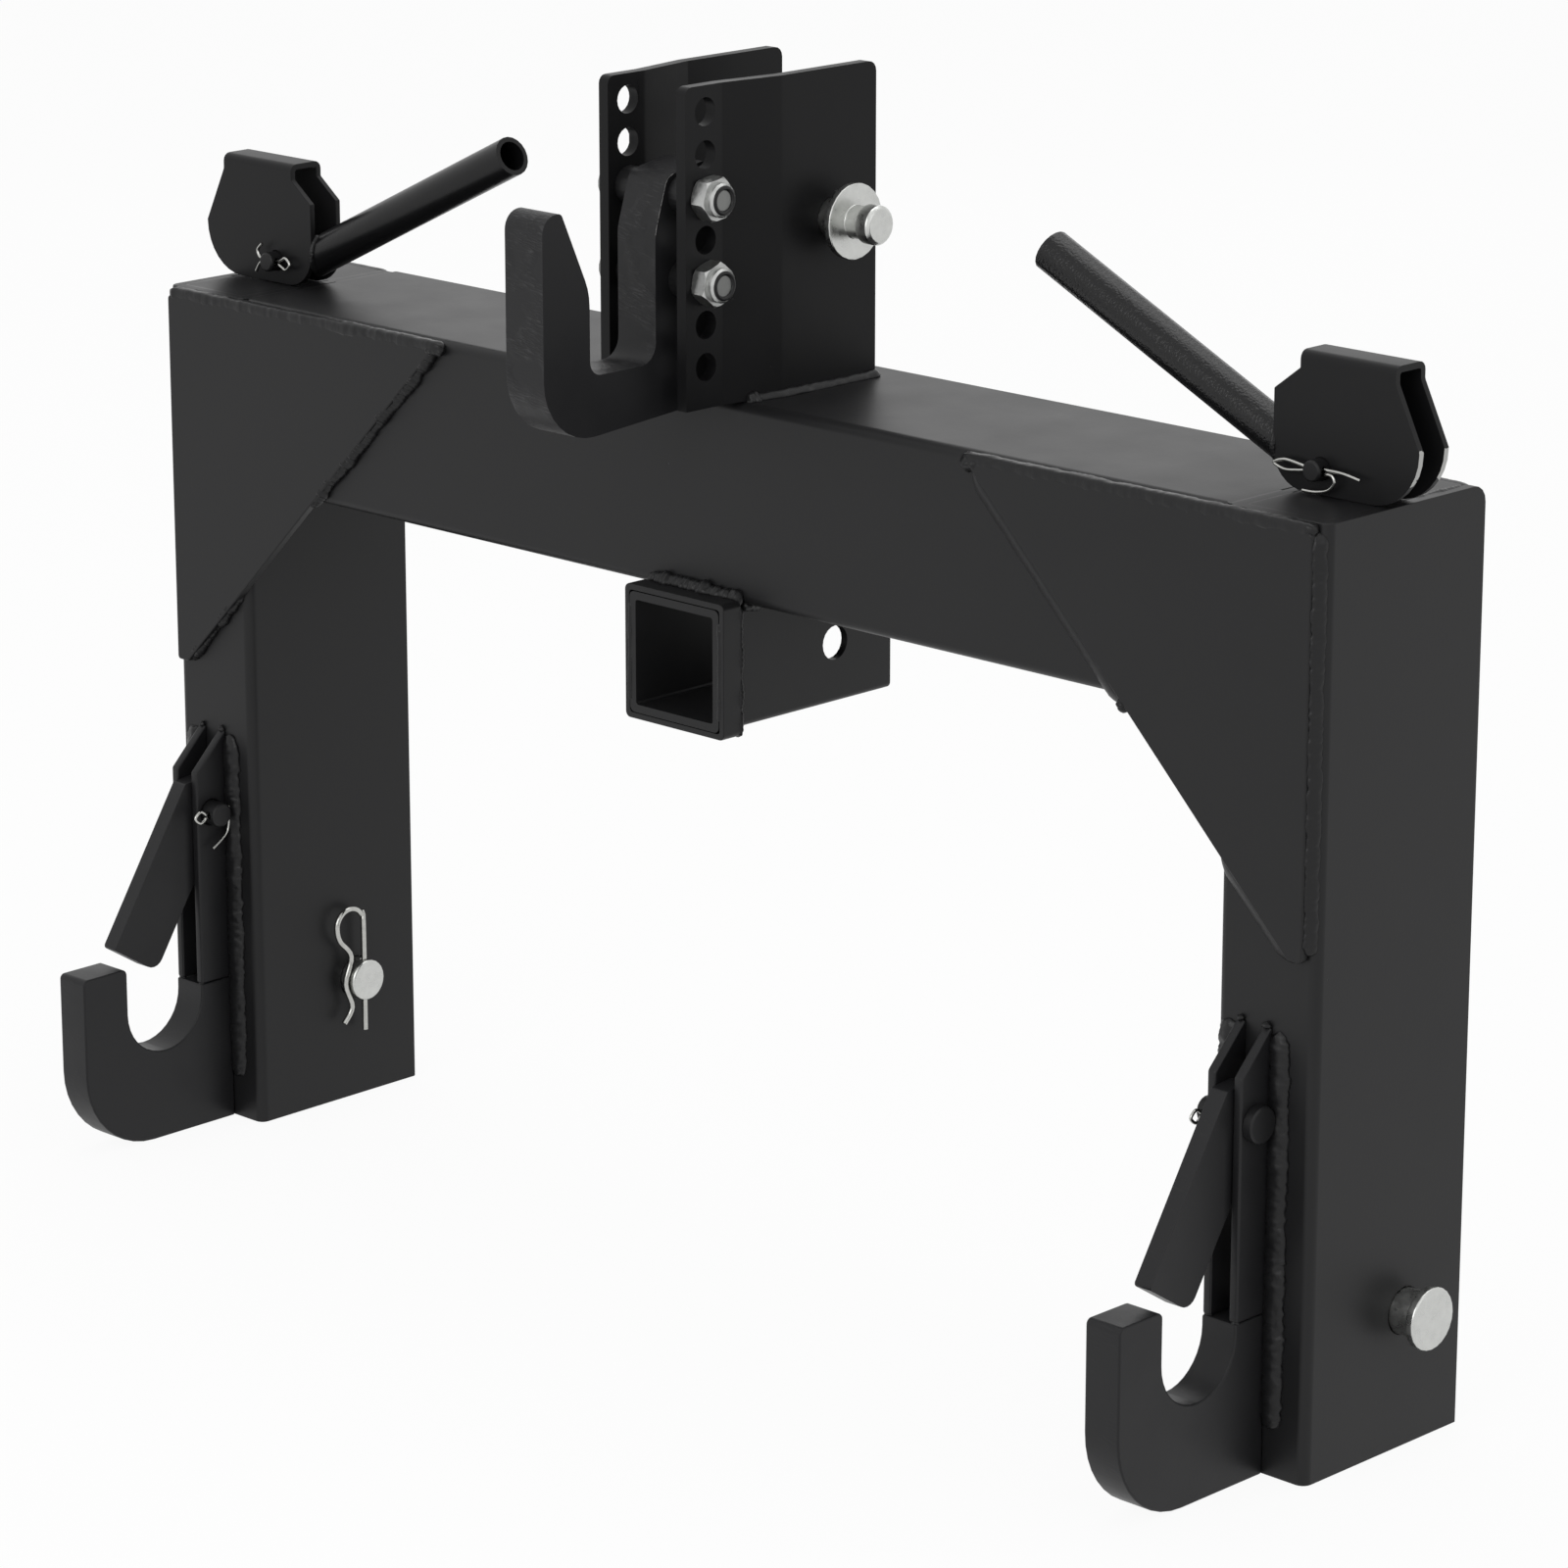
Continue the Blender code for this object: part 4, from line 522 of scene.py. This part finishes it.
# Weld bead under the coat: a fillet of overlapping puddles along a path, swelling, wandering and ragged
beadForm = {"stepsPerPuddle": 4, "sway": 0.012, "swell": 0.007, "crumble": 0.0034, "endPower": 0.35, "endLeast": 0.12,
            "trough": 0.9, "sides": 16}
beadTree = newTree("weldBead", {"Width": "NodeSocketFloat", "Puddle": "NodeSocketFloat", "Ripple": "NodeSocketFloat",
                                "Lumps": "NodeSocketFloat", "Grain": "NodeSocketFloat", "Fullness": "NodeSocketFloat",
                                "Wander": "NodeSocketFloat", "Seed": "NodeSocketFloat",
                                "Finish": "NodeSocketMaterial"})
given = addNode(beadTree, "NodeGroupInput").outputs
asCurve = addNode(beadTree, "GeometryNodeMeshToCurve", {"Mesh": given["Geometry"]})
step = addNode(beadTree, "ShaderNodeMath", {0: given["Puddle"], 1: beadForm["stepsPerPuddle"]},
               operation="DIVIDE")
fine = addNode(beadTree, "GeometryNodeResampleCurve", {"Curve": asCurve.outputs["Curve"],
                                                       "Length": step.outputs[0]}, mode="LENGTH")
upright = addNode(beadTree, "GeometryNodeSetCurveNormal", {"Curve": fine.outputs["Curve"]}, mode="Z_UP")
at = addNode(beadTree, "GeometryNodeInputPosition")
sway = addNode(beadTree, "ShaderNodeTexNoise", {"Vector": at.outputs["Position"], "W": given["Seed"],
                                                "Scale": 1 / beadForm["sway"], "Detail": 1}, noise_dimensions="4D")
centred = addNode(beadTree, "ShaderNodeVectorMath", {0: sway.outputs["Color"], 1: (0.5, 0.5, 0.5)},
                  operation="SUBTRACT")
scaled = addNode(beadTree, "ShaderNodeVectorMath", {0: centred.outputs["Vector"], "Scale": given["Wander"]},
                 operation="SCALE")
along = addNode(beadTree, "GeometryNodeSplineParameter")
total = addNode(beadTree, "GeometryNodeSplineLength")
left = addNode(beadTree, "ShaderNodeMath", {0: total.outputs["Length"], 1: along.outputs["Length"]},
               operation="SUBTRACT")
halfWide = addNode(beadTree, "ShaderNodeMath", {0: given["Width"], 1: 0.5}, operation="MULTIPLY")
fromEnd = addNode(beadTree, "ShaderNodeMath", {0: along.outputs["Length"], 1: left.outputs[0]},
                  operation="MINIMUM")
share = addNode(beadTree, "ShaderNodeMath", {0: fromEnd.outputs[0], 1: halfWide.outputs[0]}, operation="DIVIDE",
                use_clamp=True)
taper = addNode(beadTree, "ShaderNodeMath", {0: share.outputs[0], 1: beadForm["endPower"]}, operation="POWER")
blunt = addNode(beadTree, "ShaderNodeMath", {0: taper.outputs[0], 1: beadForm["endLeast"]}, operation="MAXIMUM")
turns = addNode(beadTree, "ShaderNodeMath", {0: along.outputs["Length"], 1: given["Puddle"]}, operation="DIVIDE")
phase = addNode(beadTree, "ShaderNodeMath", {0: turns.outputs[0], 1: math.pi}, operation="MULTIPLY")
wave = addNode(beadTree, "ShaderNodeMath", {0: phase.outputs[0]}, operation="SINE")
puddle = addNode(beadTree, "ShaderNodeMath", {0: wave.outputs[0]}, operation="ABSOLUTE")
ripple = addNode(beadTree, "ShaderNodeMath", {0: puddle.outputs[0], 1: given["Ripple"], 2: beadForm["trough"]},
                 operation="MULTIPLY_ADD")
swell = addNode(beadTree, "ShaderNodeTexNoise", {"Vector": at.outputs["Position"], "W": given["Seed"],
                                                 "Scale": 1 / beadForm["swell"], "Detail": 2},
                noise_dimensions="4D")
swellRange = addNode(beadTree, "ShaderNodeMapRange", {"Value": swell.outputs["Fac"], "From Min": 0.25,
                                                      "From Max": 0.75, "To Min": -1, "To Max": 1})
lump = addNode(beadTree, "ShaderNodeMath", {0: swellRange.outputs["Result"], 1: given["Lumps"], 2: 1},
               operation="MULTIPLY_ADD")
size = addNode(beadTree, "ShaderNodeMath", {0: ripple.outputs[0], 1: lump.outputs[0]}, operation="MULTIPLY")
tapered = addNode(beadTree, "ShaderNodeMath", {0: size.outputs[0], 1: blunt.outputs[0]}, operation="MULTIPLY")
radius = addNode(beadTree, "ShaderNodeMath", {0: tapered.outputs[0], 1: given["Width"]}, operation="MULTIPLY")
halfWidth = addNode(beadTree, "ShaderNodeMath", {0: radius.outputs[0], 1: 0.5}, operation="MULTIPLY")
section = addNode(beadTree, "GeometryNodeCurvePrimitiveCircle", {"Resolution": beadForm["sides"], "Radius": 1})

# A fillet's section lies between a circle (fullness 2) and the flat chamfer of a diamond (1), and a
# bead that fills a corner flush is nearly square (5)
spokes = addNode(beadTree, "ShaderNodeSeparateXYZ", {"Vector": at.outputs["Position"]})
powers = []
for axis in ("X", "Y"):
    length = addNode(beadTree, "ShaderNodeMath", {0: spokes.outputs[axis]}, operation="ABSOLUTE")
    powers.append(addNode(beadTree, "ShaderNodeMath", {0: length.outputs[0], 1: given["Fullness"]},
                          operation="POWER"))
both = addNode(beadTree, "ShaderNodeMath", {0: powers[0].outputs[0], 1: powers[1].outputs[0]}, operation="ADD")
root = addNode(beadTree, "ShaderNodeMath", {0: -1, 1: given["Fullness"]}, operation="DIVIDE")
shrink = addNode(beadTree, "ShaderNodeMath", {0: both.outputs[0], 1: root.outputs[0]}, operation="POWER")
fillet = addNode(beadTree, "ShaderNodeVectorMath", {0: at.outputs["Position"], "Scale": shrink.outputs[0]},
                 operation="SCALE")
filletSection = addNode(beadTree, "GeometryNodeSetPosition", {"Geometry": section.outputs["Curve"],
                                                              "Position": fillet.outputs["Vector"]})
swept = addNode(beadTree, "GeometryNodeCurveToMesh", {"Curve": upright.outputs["Curve"],
                                                      "Profile Curve": filletSection.outputs["Geometry"],
                                                      "Scale": halfWidth.outputs[0], "Fill Caps": True})
outward = addNode(beadTree, "GeometryNodeInputNormal")
crumble = addNode(beadTree, "ShaderNodeTexNoise", {"Vector": at.outputs["Position"], "W": given["Seed"],
                                                   "Scale": 1 / beadForm["crumble"], "Detail": 2},
                  noise_dimensions="4D")
rise = addNode(beadTree, "ShaderNodeMath", {0: crumble.outputs["Fac"], 1: 0.5}, operation="SUBTRACT")
height = addNode(beadTree, "ShaderNodeMath", {0: rise.outputs[0], 1: given["Grain"]}, operation="MULTIPLY")
push = addNode(beadTree, "ShaderNodeVectorMath", {0: outward.outputs["Normal"], "Scale": height.outputs[0]},
               operation="SCALE")
moved = addNode(beadTree, "ShaderNodeVectorMath", {0: push.outputs["Vector"], 1: scaled.outputs["Vector"]},
                operation="ADD")
raggedBead = addNode(beadTree, "GeometryNodeSetPosition", {"Geometry": swept.outputs["Mesh"],
                                                           "Offset": moved.outputs["Vector"]})
shaded = addNode(beadTree, "GeometryNodeSetShadeSmooth", {"Geometry": raggedBead.outputs["Geometry"]})
real = addNode(beadTree, "GeometryNodeRealizeInstances", {"Geometry": shaded.outputs["Geometry"]})
coated = addNode(beadTree, "GeometryNodeSetMaterial", {"Geometry": real.outputs["Geometry"],
                                                       "Material": given["Finish"]})
addNode(beadTree, "NodeGroupOutput", {"Geometry": coated.outputs["Geometry"]})


lineSteps = 12


def line(*corners, pieces=lineSteps):
    route = []
    for a, b in zip(corners, corners[1:]):
        route += [Vector(a).lerp(Vector(b), part / pieces) for part in range(pieces)]
    return [*route, Vector(corners[-1])]


# flat is the share of its height that a bead keeps above the plane through its first point
def weld(name, body, routes, width, puddle=0.0026, ripple=0.12, lumps=0.25, grain=0.0010, wander=0.0012, seed=0.0,
         normal=None, flat=1.0, fullness=1.3, finish=beadCoat):
    piece = runTree(pathObject(name, routes), beadTree, {
        "Width": width, "Puddle": puddle, "Ripple": ripple, "Lumps": lumps, "Grain": grain, "Wander": wander,
        "Fullness": fullness, "Seed": seed, "Finish": finish}, name)
    if normal:
        origin = Matrix.Translation(routes[0][0])
        piece.data.transform(origin @ Matrix.Scale(flat, 4, Vector(normal)) @ origin.inverted())
    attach(piece, body)


# Welds of both sides: routes as on the right one, and the bead's look, which one side may change
upward, facing = (0, 0, 1), (0, 1, 0)
sideWelds = {
    "weld_corner_edge": {
        "routes": [[(0.380, 0.001, 0.250), (0.380, 0.001, 0.441)]], "seed": 1.0, "left": {"grain": 0.0003},
        "look": {"width": 0.0084, "ripple": 0.0, "lumps": 0.06, "grain": 0.0022, "wander": 0.0006,
                 "normal": facing, "flat": 1.45}},
    "weld_corner_top": {
        "routes": [[(0.174, -0.0019, 0.4417), (0.3805, -0.0019, 0.4417)]], "seed": 3.0,
        "look": {"width": 0.0075, "puddle": 0.0030, "ripple": 0.0, "lumps": 0.08, "grain": 0.0008,
                 "wander": 0.0010, "fullness": 5.0}},
    "weld_slant_top": {
        "routes": [[(0.1735, -0.0022, 0.4405), (0.186, -0.0022, 0.4405)]], "pieces": 6, "seed": 6.5,
        "look": {"width": 0.0085, "lumps": 0.3, "grain": 0.003}},
    "weld_beam_end": {
        "routes": [[(0.328, 0.004, 0.3472), (0.328, 0.106, 0.3472)], [(0.328, 0.1090, 0.352), (0.328, 0.1090, 0.438)]],
        "seed": 7.0, "look": {"width": 0.0055}},
    "weld_cap": {
        "routes": [[(0.3788, 0.068, 0.4446), (0.3788, 0.100, 0.4446)]], "seed": 11.0,
        "look": {"width": 0.0046, "lumps": 0.4, "normal": upward, "flat": 0.4}},
    "weld_cap_rear": {
        "routes": [[(0.3345, 0.1042, 0.4435), (0.3788, 0.1042, 0.4435)]], "seed": 11.5,
        "look": {"width": 0.0120, "ripple": 0.04, "lumps": 0.08, "grain": 0.0004, "wander": 0.0005,
                 "normal": upward, "flat": 0.3}},
    "dressed_cap": {
        "routes": [[(0.3345, 0.0062, 0.4449), (0.3345, 0.0375, 0.4449)],
                   [(0.3788, 0.0062, 0.4449), (0.3788, 0.0375, 0.4449)],
                   [(0.3345, 0.0645, 0.4449), (0.3345, 0.1022, 0.4449)],
                   [(0.3345, 0.0062, 0.4449), (0.3788, 0.0062, 0.4449)],
                   [(0.328, 0.002, 0.4449), (0.328, 0.0375, 0.4449)],
                   [(0.328, 0.0645, 0.4449), (0.328, 0.103, 0.4449)]],
        "seed": 12.0,
        "look": {"width": 0.0080, "ripple": 0.0, "lumps": 0.10, "grain": 0.0, "normal": upward, "flat": 0.03}},
    "weld_mast": {
        "routes": [[(0.0316, 0.007, 0.4453), (0.0340, 0.024, 0.4453), (0.0340, 0.088, 0.4453),
                    (0.0315, 0.0898, 0.4453)]],
        "seed": 13.0,
        "look": {"width": 0.0070, "puddle": 0.0050, "ripple": 0.02, "lumps": 0.16, "grain": 0.0008, "wander": 0.0012}},
    "weld_mast_start": {
        "routes": [[(0.0308, 0.004, 0.4455), (0.0325, 0.011, 0.4455)]], "pieces": 4, "seed": 13.5,
        "look": {"width": 0.0095, "puddle": 0.0014, "lumps": 0.35, "grain": 0.0026}},
    "weld_mast_end": {
        "routes": [[(0.0340, 0.0855, 0.4453), (0.0335, 0.0900, 0.4453)]], "pieces": 4, "seed": 14.0,
        "look": {"width": 0.0110, "lumps": 0.25, "grain": 0.0026}},
    "weld_receiver": {
        "routes": [[(0.0304, 0.001, 0.3462), (0.0304, 0.103, 0.3462)]], "seed": 15.0, "look": {"width": 0.0065}},
}
for name, bead in sideWelds.items():
    for side, sign in sides.items():
        routes = [line(*[(sign * x, y, z) for x, y, z in corners], pieces=bead.get("pieces", lineSteps))
                  for corners in bead["routes"]]
        weld(f"{name}_{side}", "frame", routes, seed=bead["seed"] + sign, **bead["look"] | bead.get(side, {}))

# The left corner plate's slant has a raised bead, the right one a wide flat fillet that hardly shows.
# Each ends in a drop at the beam's lower edge.
slants = {
    "upper": ((0.180, 0.4385), (0.274, 0.3455)), "lower": ((0.331, 0.2895), (0.3745, 0.2470)), "seed": 5.0,
    "right": {"deep": -0.0002, "inset": 0.0, "dropTo": 0.3405,
              "look": {"width": 0.0185, "flat": 0.60, "lumps": 0.03, "grain": 0.0002, "wander": 0.0003, "ripple": 0.0,
                       "finish": satinCoat}},
    "left": {"deep": -0.0010, "inset": 0.0006, "dropTo": 0.3450,
             "look": {"width": 0.0070, "flat": 1.18, "lumps": 0.25, "grain": 0.0018, "wander": 0.0036}},
}
drop = {"x": 0.2725, "y": -0.002, "from": 0.3488, "width": 0.0085, "lumps": 0.1, "pieces": 4, "seed": 6.0}
for side, sign in sides.items():
    inset, deep = slants[side]["inset"], slants[side]["deep"]
    routes = [line(*[(sign * (x + inset), deep, z + inset) for x, z in slants[run]]) for run in ("upper", "lower")]
    weld(f"weld_corner_slant_{side}", "frame", routes, seed=slants["seed"] + sign, normal=facing,
         **slants[side]["look"])
    route = line((sign * drop["x"], drop["y"], drop["from"]), (sign * drop["x"], drop["y"], slants[side]["dropTo"]),
                 pieces=drop["pieces"])
    weld(f"weld_slant_end_{side}", "frame", [route], drop["width"], seed=drop["seed"] + sign, lumps=drop["lumps"])

# A bead down each side of a lower hook and its cheek plates, clear of the latch's slot, and tacks at the
# cheeks' ends
hookBead = {"beside": 0.0140, "y": -0.0002, "z": (0.023, 0.211), "pieces": 24, "seed": 9.0}
hookLook = {"width": 0.0150, "puddle": 0.0030, "ripple": 0.0, "lumps": 0.12, "grain": 0.0050, "wander": 0.0010,
            "normal": facing, "flat": 0.45}
tack = {"beside": 0.0076, "upper": ((-0.001, 0.2115), (-0.001, 0.2150)),
        "lower": ((-0.0205, 0.0775), (-0.0170, 0.0772)), "pieces": 3, "width": 0.0056, "lumps": 0.3,
        "grain": 0.0022, "seed": 10.0}
for side, sign in sides.items():
    for direction in (-1, 1):
        place = f"{side}_{'outer' if direction == sign else 'inner'}"
        x = hookX[side] + direction * hookBead["beside"]
        weld(f"weld_hook_{place}", "frame",
             [line(*[(x, hookBead["y"], z) for z in hookBead["z"]], pieces=hookBead["pieces"])],
             seed=hookBead["seed"] + sign + direction / 3, **hookLook)
        x = hookX[side] + direction * tack["beside"]
        weld(f"tack_cheek_{place}", "frame",
             [line(*[(x, y, z) for y, z in tack[end]], pieces=tack["pieces"]) for end in ("upper", "lower")],
             tack["width"], lumps=tack["lumps"], grain=tack["grain"], seed=tack["seed"] + sign + direction / 3)

# Each handle's end sits on its cam's rounded heel, and the bead follows that heel on both faces
heel = {"x": 0.3196, "centre": 0.3376, "round": 0.018, "z": 0.4633, "tube": (0.0101, 0.0111), "lift": 0.0003,
        "y": 0.051, "from": -60, "step": 10, "points": 13, "seed": 17.0}
for side, sign in sides.items():
    ring = []
    for part in range(heel["points"]):
        turn = math.radians(heel["from"] + heel["step"] * part)
        z = heel["z"] + heel["tube"][1] * math.sin(turn)
        x = heel["x"] if z > heel["z"] else heel["centre"] - math.sqrt(heel["round"] ** 2 - (heel["z"] - z) ** 2)
        ring.append((sign * (x - heel["lift"]), heel["tube"][0] * math.cos(turn), z))
    weld(f"weld_handle_{side}", f"lever_{side}",
         [[Vector((x, heel["y"] + flip * y, z)) for x, y, z in ring] for flip in (1, -1)], 0.0030, puddle=0.0016,
         lumps=0.25, grain=0.0006, wander=0.0004, seed=heel["seed"] + sign)

# Beads of the receiver's collar: down both sides of its mouth, round its back edge, and on top of it
# under the beam
collar = {"z": 0.3167, "mouth": 0.0302, "reach": 0.024, "front": -0.0149, "ledge": 0.0312, "back": -0.0026}
mouth, reach, ledge, middle = collar["mouth"], collar["reach"], collar["ledge"], collar["z"]
weld("weld_collar_front", "frame",
     [line((flip * mouth, collar["front"], middle - reach), (flip * mouth, collar["front"], middle + reach))
      for flip in (1, -1)],
     0.0030, puddle=0.0018, lumps=0.35, grain=0.0008, seed=21.0, normal=facing, flat=0.5)
weld("weld_collar_back", "frame",
     [line((-ledge, collar["back"], middle - ledge), (ledge, collar["back"], middle - ledge),
           (ledge, collar["back"], middle + mouth)),
      line((-ledge, collar["back"], middle - ledge), (-ledge, collar["back"], middle + mouth))],
     0.0056, lumps=0.3, seed=23.0)
weld("weld_collar_top", "frame", [line((-0.0300, -0.0018, 0.3508), (0.0325, -0.0018, 0.3508))], 0.0085, lumps=0.35,
     grain=0.0030, seed=24.0)
print("welds made")

# Camera at the photograph's angle, fitted to the frame's corners
view = {"lens": 134.92, "azimuth": 44.215, "pitch": 15.914, "place": (1.929512, -1.922744, 1.029496),
        "sensor": 36, "nearest": 0.05}
cameraData = bpy.data.cameras.new("photoCamera")
cameraData.lens = view["lens"]
cameraData.sensor_width = view["sensor"]
cameraData.clip_start = view["nearest"]
camera = bpy.data.objects.new("photoCamera", cameraData)
camera.location = view["place"]
camera.rotation_euler = (math.radians(90 - view["pitch"]), 0, math.radians(view["azimuth"]))
scene.collection.objects.link(camera)
scene.camera = camera

# Pale studio: white where the camera and gloss look, plain light on the object
studio = {"ambient": 0.62, "floorWhite": 0.93, "floorHalf": 15, "floorZ": -0.0003, "aim": (0, 0, 0.3),
          "lamps": [{"name": "frontSoftbox", "place": (0.5, -2.0, 1.2), "size": 1.3, "power": 12},
                    {"name": "sideSoftbox", "place": (2.3, -0.3, 1.6), "size": 1.3, "power": 3},
                    {"name": "topSoftbox", "place": (0.0, 0.6, 2.4), "size": 1.6, "power": 12},
                    {"name": "backSoftbox", "place": (-1.9, 2.2, 1.2), "size": 1.8, "power": 2}]}


# One where the camera, a mirror or a clear body looks, and zero for diffuse light
def lookedAt(tree):
    ray = addNode(tree, "ShaderNodeLightPath")
    seen = addNode(tree, "ShaderNodeMath", {0: ray.outputs["Is Camera Ray"], 1: ray.outputs["Is Glossy Ray"]},
                   operation="MAXIMUM")
    return addNode(tree, "ShaderNodeMath", {0: seen.outputs[0], 1: ray.outputs["Is Transmission Ray"]},
                   operation="MAXIMUM")


world = bpy.data.worlds.new("paleStudio")
world.use_nodes = True
scene.world = world
sky = world.node_tree.nodes["Background"]
sky.inputs["Color"].default_value = (1, 1, 1, 1)
shown = lookedAt(world.node_tree)
strength = addNode(world.node_tree, "ShaderNodeMapRange", {"Value": shown.outputs[0],
                                                           "To Min": studio["ambient"], "To Max": 1})
world.node_tree.links.new(strength.outputs["Result"], sky.inputs["Strength"])

floorMaterial = bpy.data.materials.new("whitePaperSweep")
floorMaterial.use_nodes = True
floorTree = floorMaterial.node_tree
floorTree.nodes.remove(floorTree.nodes["Principled BSDF"])
paper = addNode(floorTree, "ShaderNodeBsdfDiffuse", {"Color": hexColour("#f4f4f4")})
white = addNode(floorTree, "ShaderNodeEmission", {"Strength": 1})
shown = lookedAt(floorTree)
share = addNode(floorTree, "ShaderNodeMath", {0: shown.outputs[0], 1: studio["floorWhite"]}, operation="MULTIPLY")
blend = addNode(floorTree, "ShaderNodeMixShader", {0: share.outputs[0], 1: paper.outputs[0], 2: white.outputs[0]})
floorTree.links.new(blend.outputs[0], floorTree.nodes["Material Output"].inputs["Surface"])
floorMesh = bpy.data.meshes.new("floor")
half, low = studio["floorHalf"], studio["floorZ"]
floorMesh.from_pydata([(-half, -half, low), (half, -half, low), (half, half, low), (-half, half, low)], [],
                      [(0, 1, 2, 3)])
floorMesh.materials.append(floorMaterial)
floor = bpy.data.objects.new("floor", floorMesh)
scene.collection.objects.link(floor)

target = Vector(studio["aim"])
for lamp in studio["lamps"]:
    light = bpy.data.lights.new(lamp["name"], "AREA")
    light.size = lamp["size"]
    light.energy = lamp["power"]
    holder = bpy.data.objects.new(lamp["name"], light)
    holder.location = lamp["place"]
    holder.rotation_euler = (target - holder.location).to_track_quat("-Z", "Y").to_euler()
    scene.collection.objects.link(holder)

scene.view_settings.view_transform = "Standard"
print("studio made")
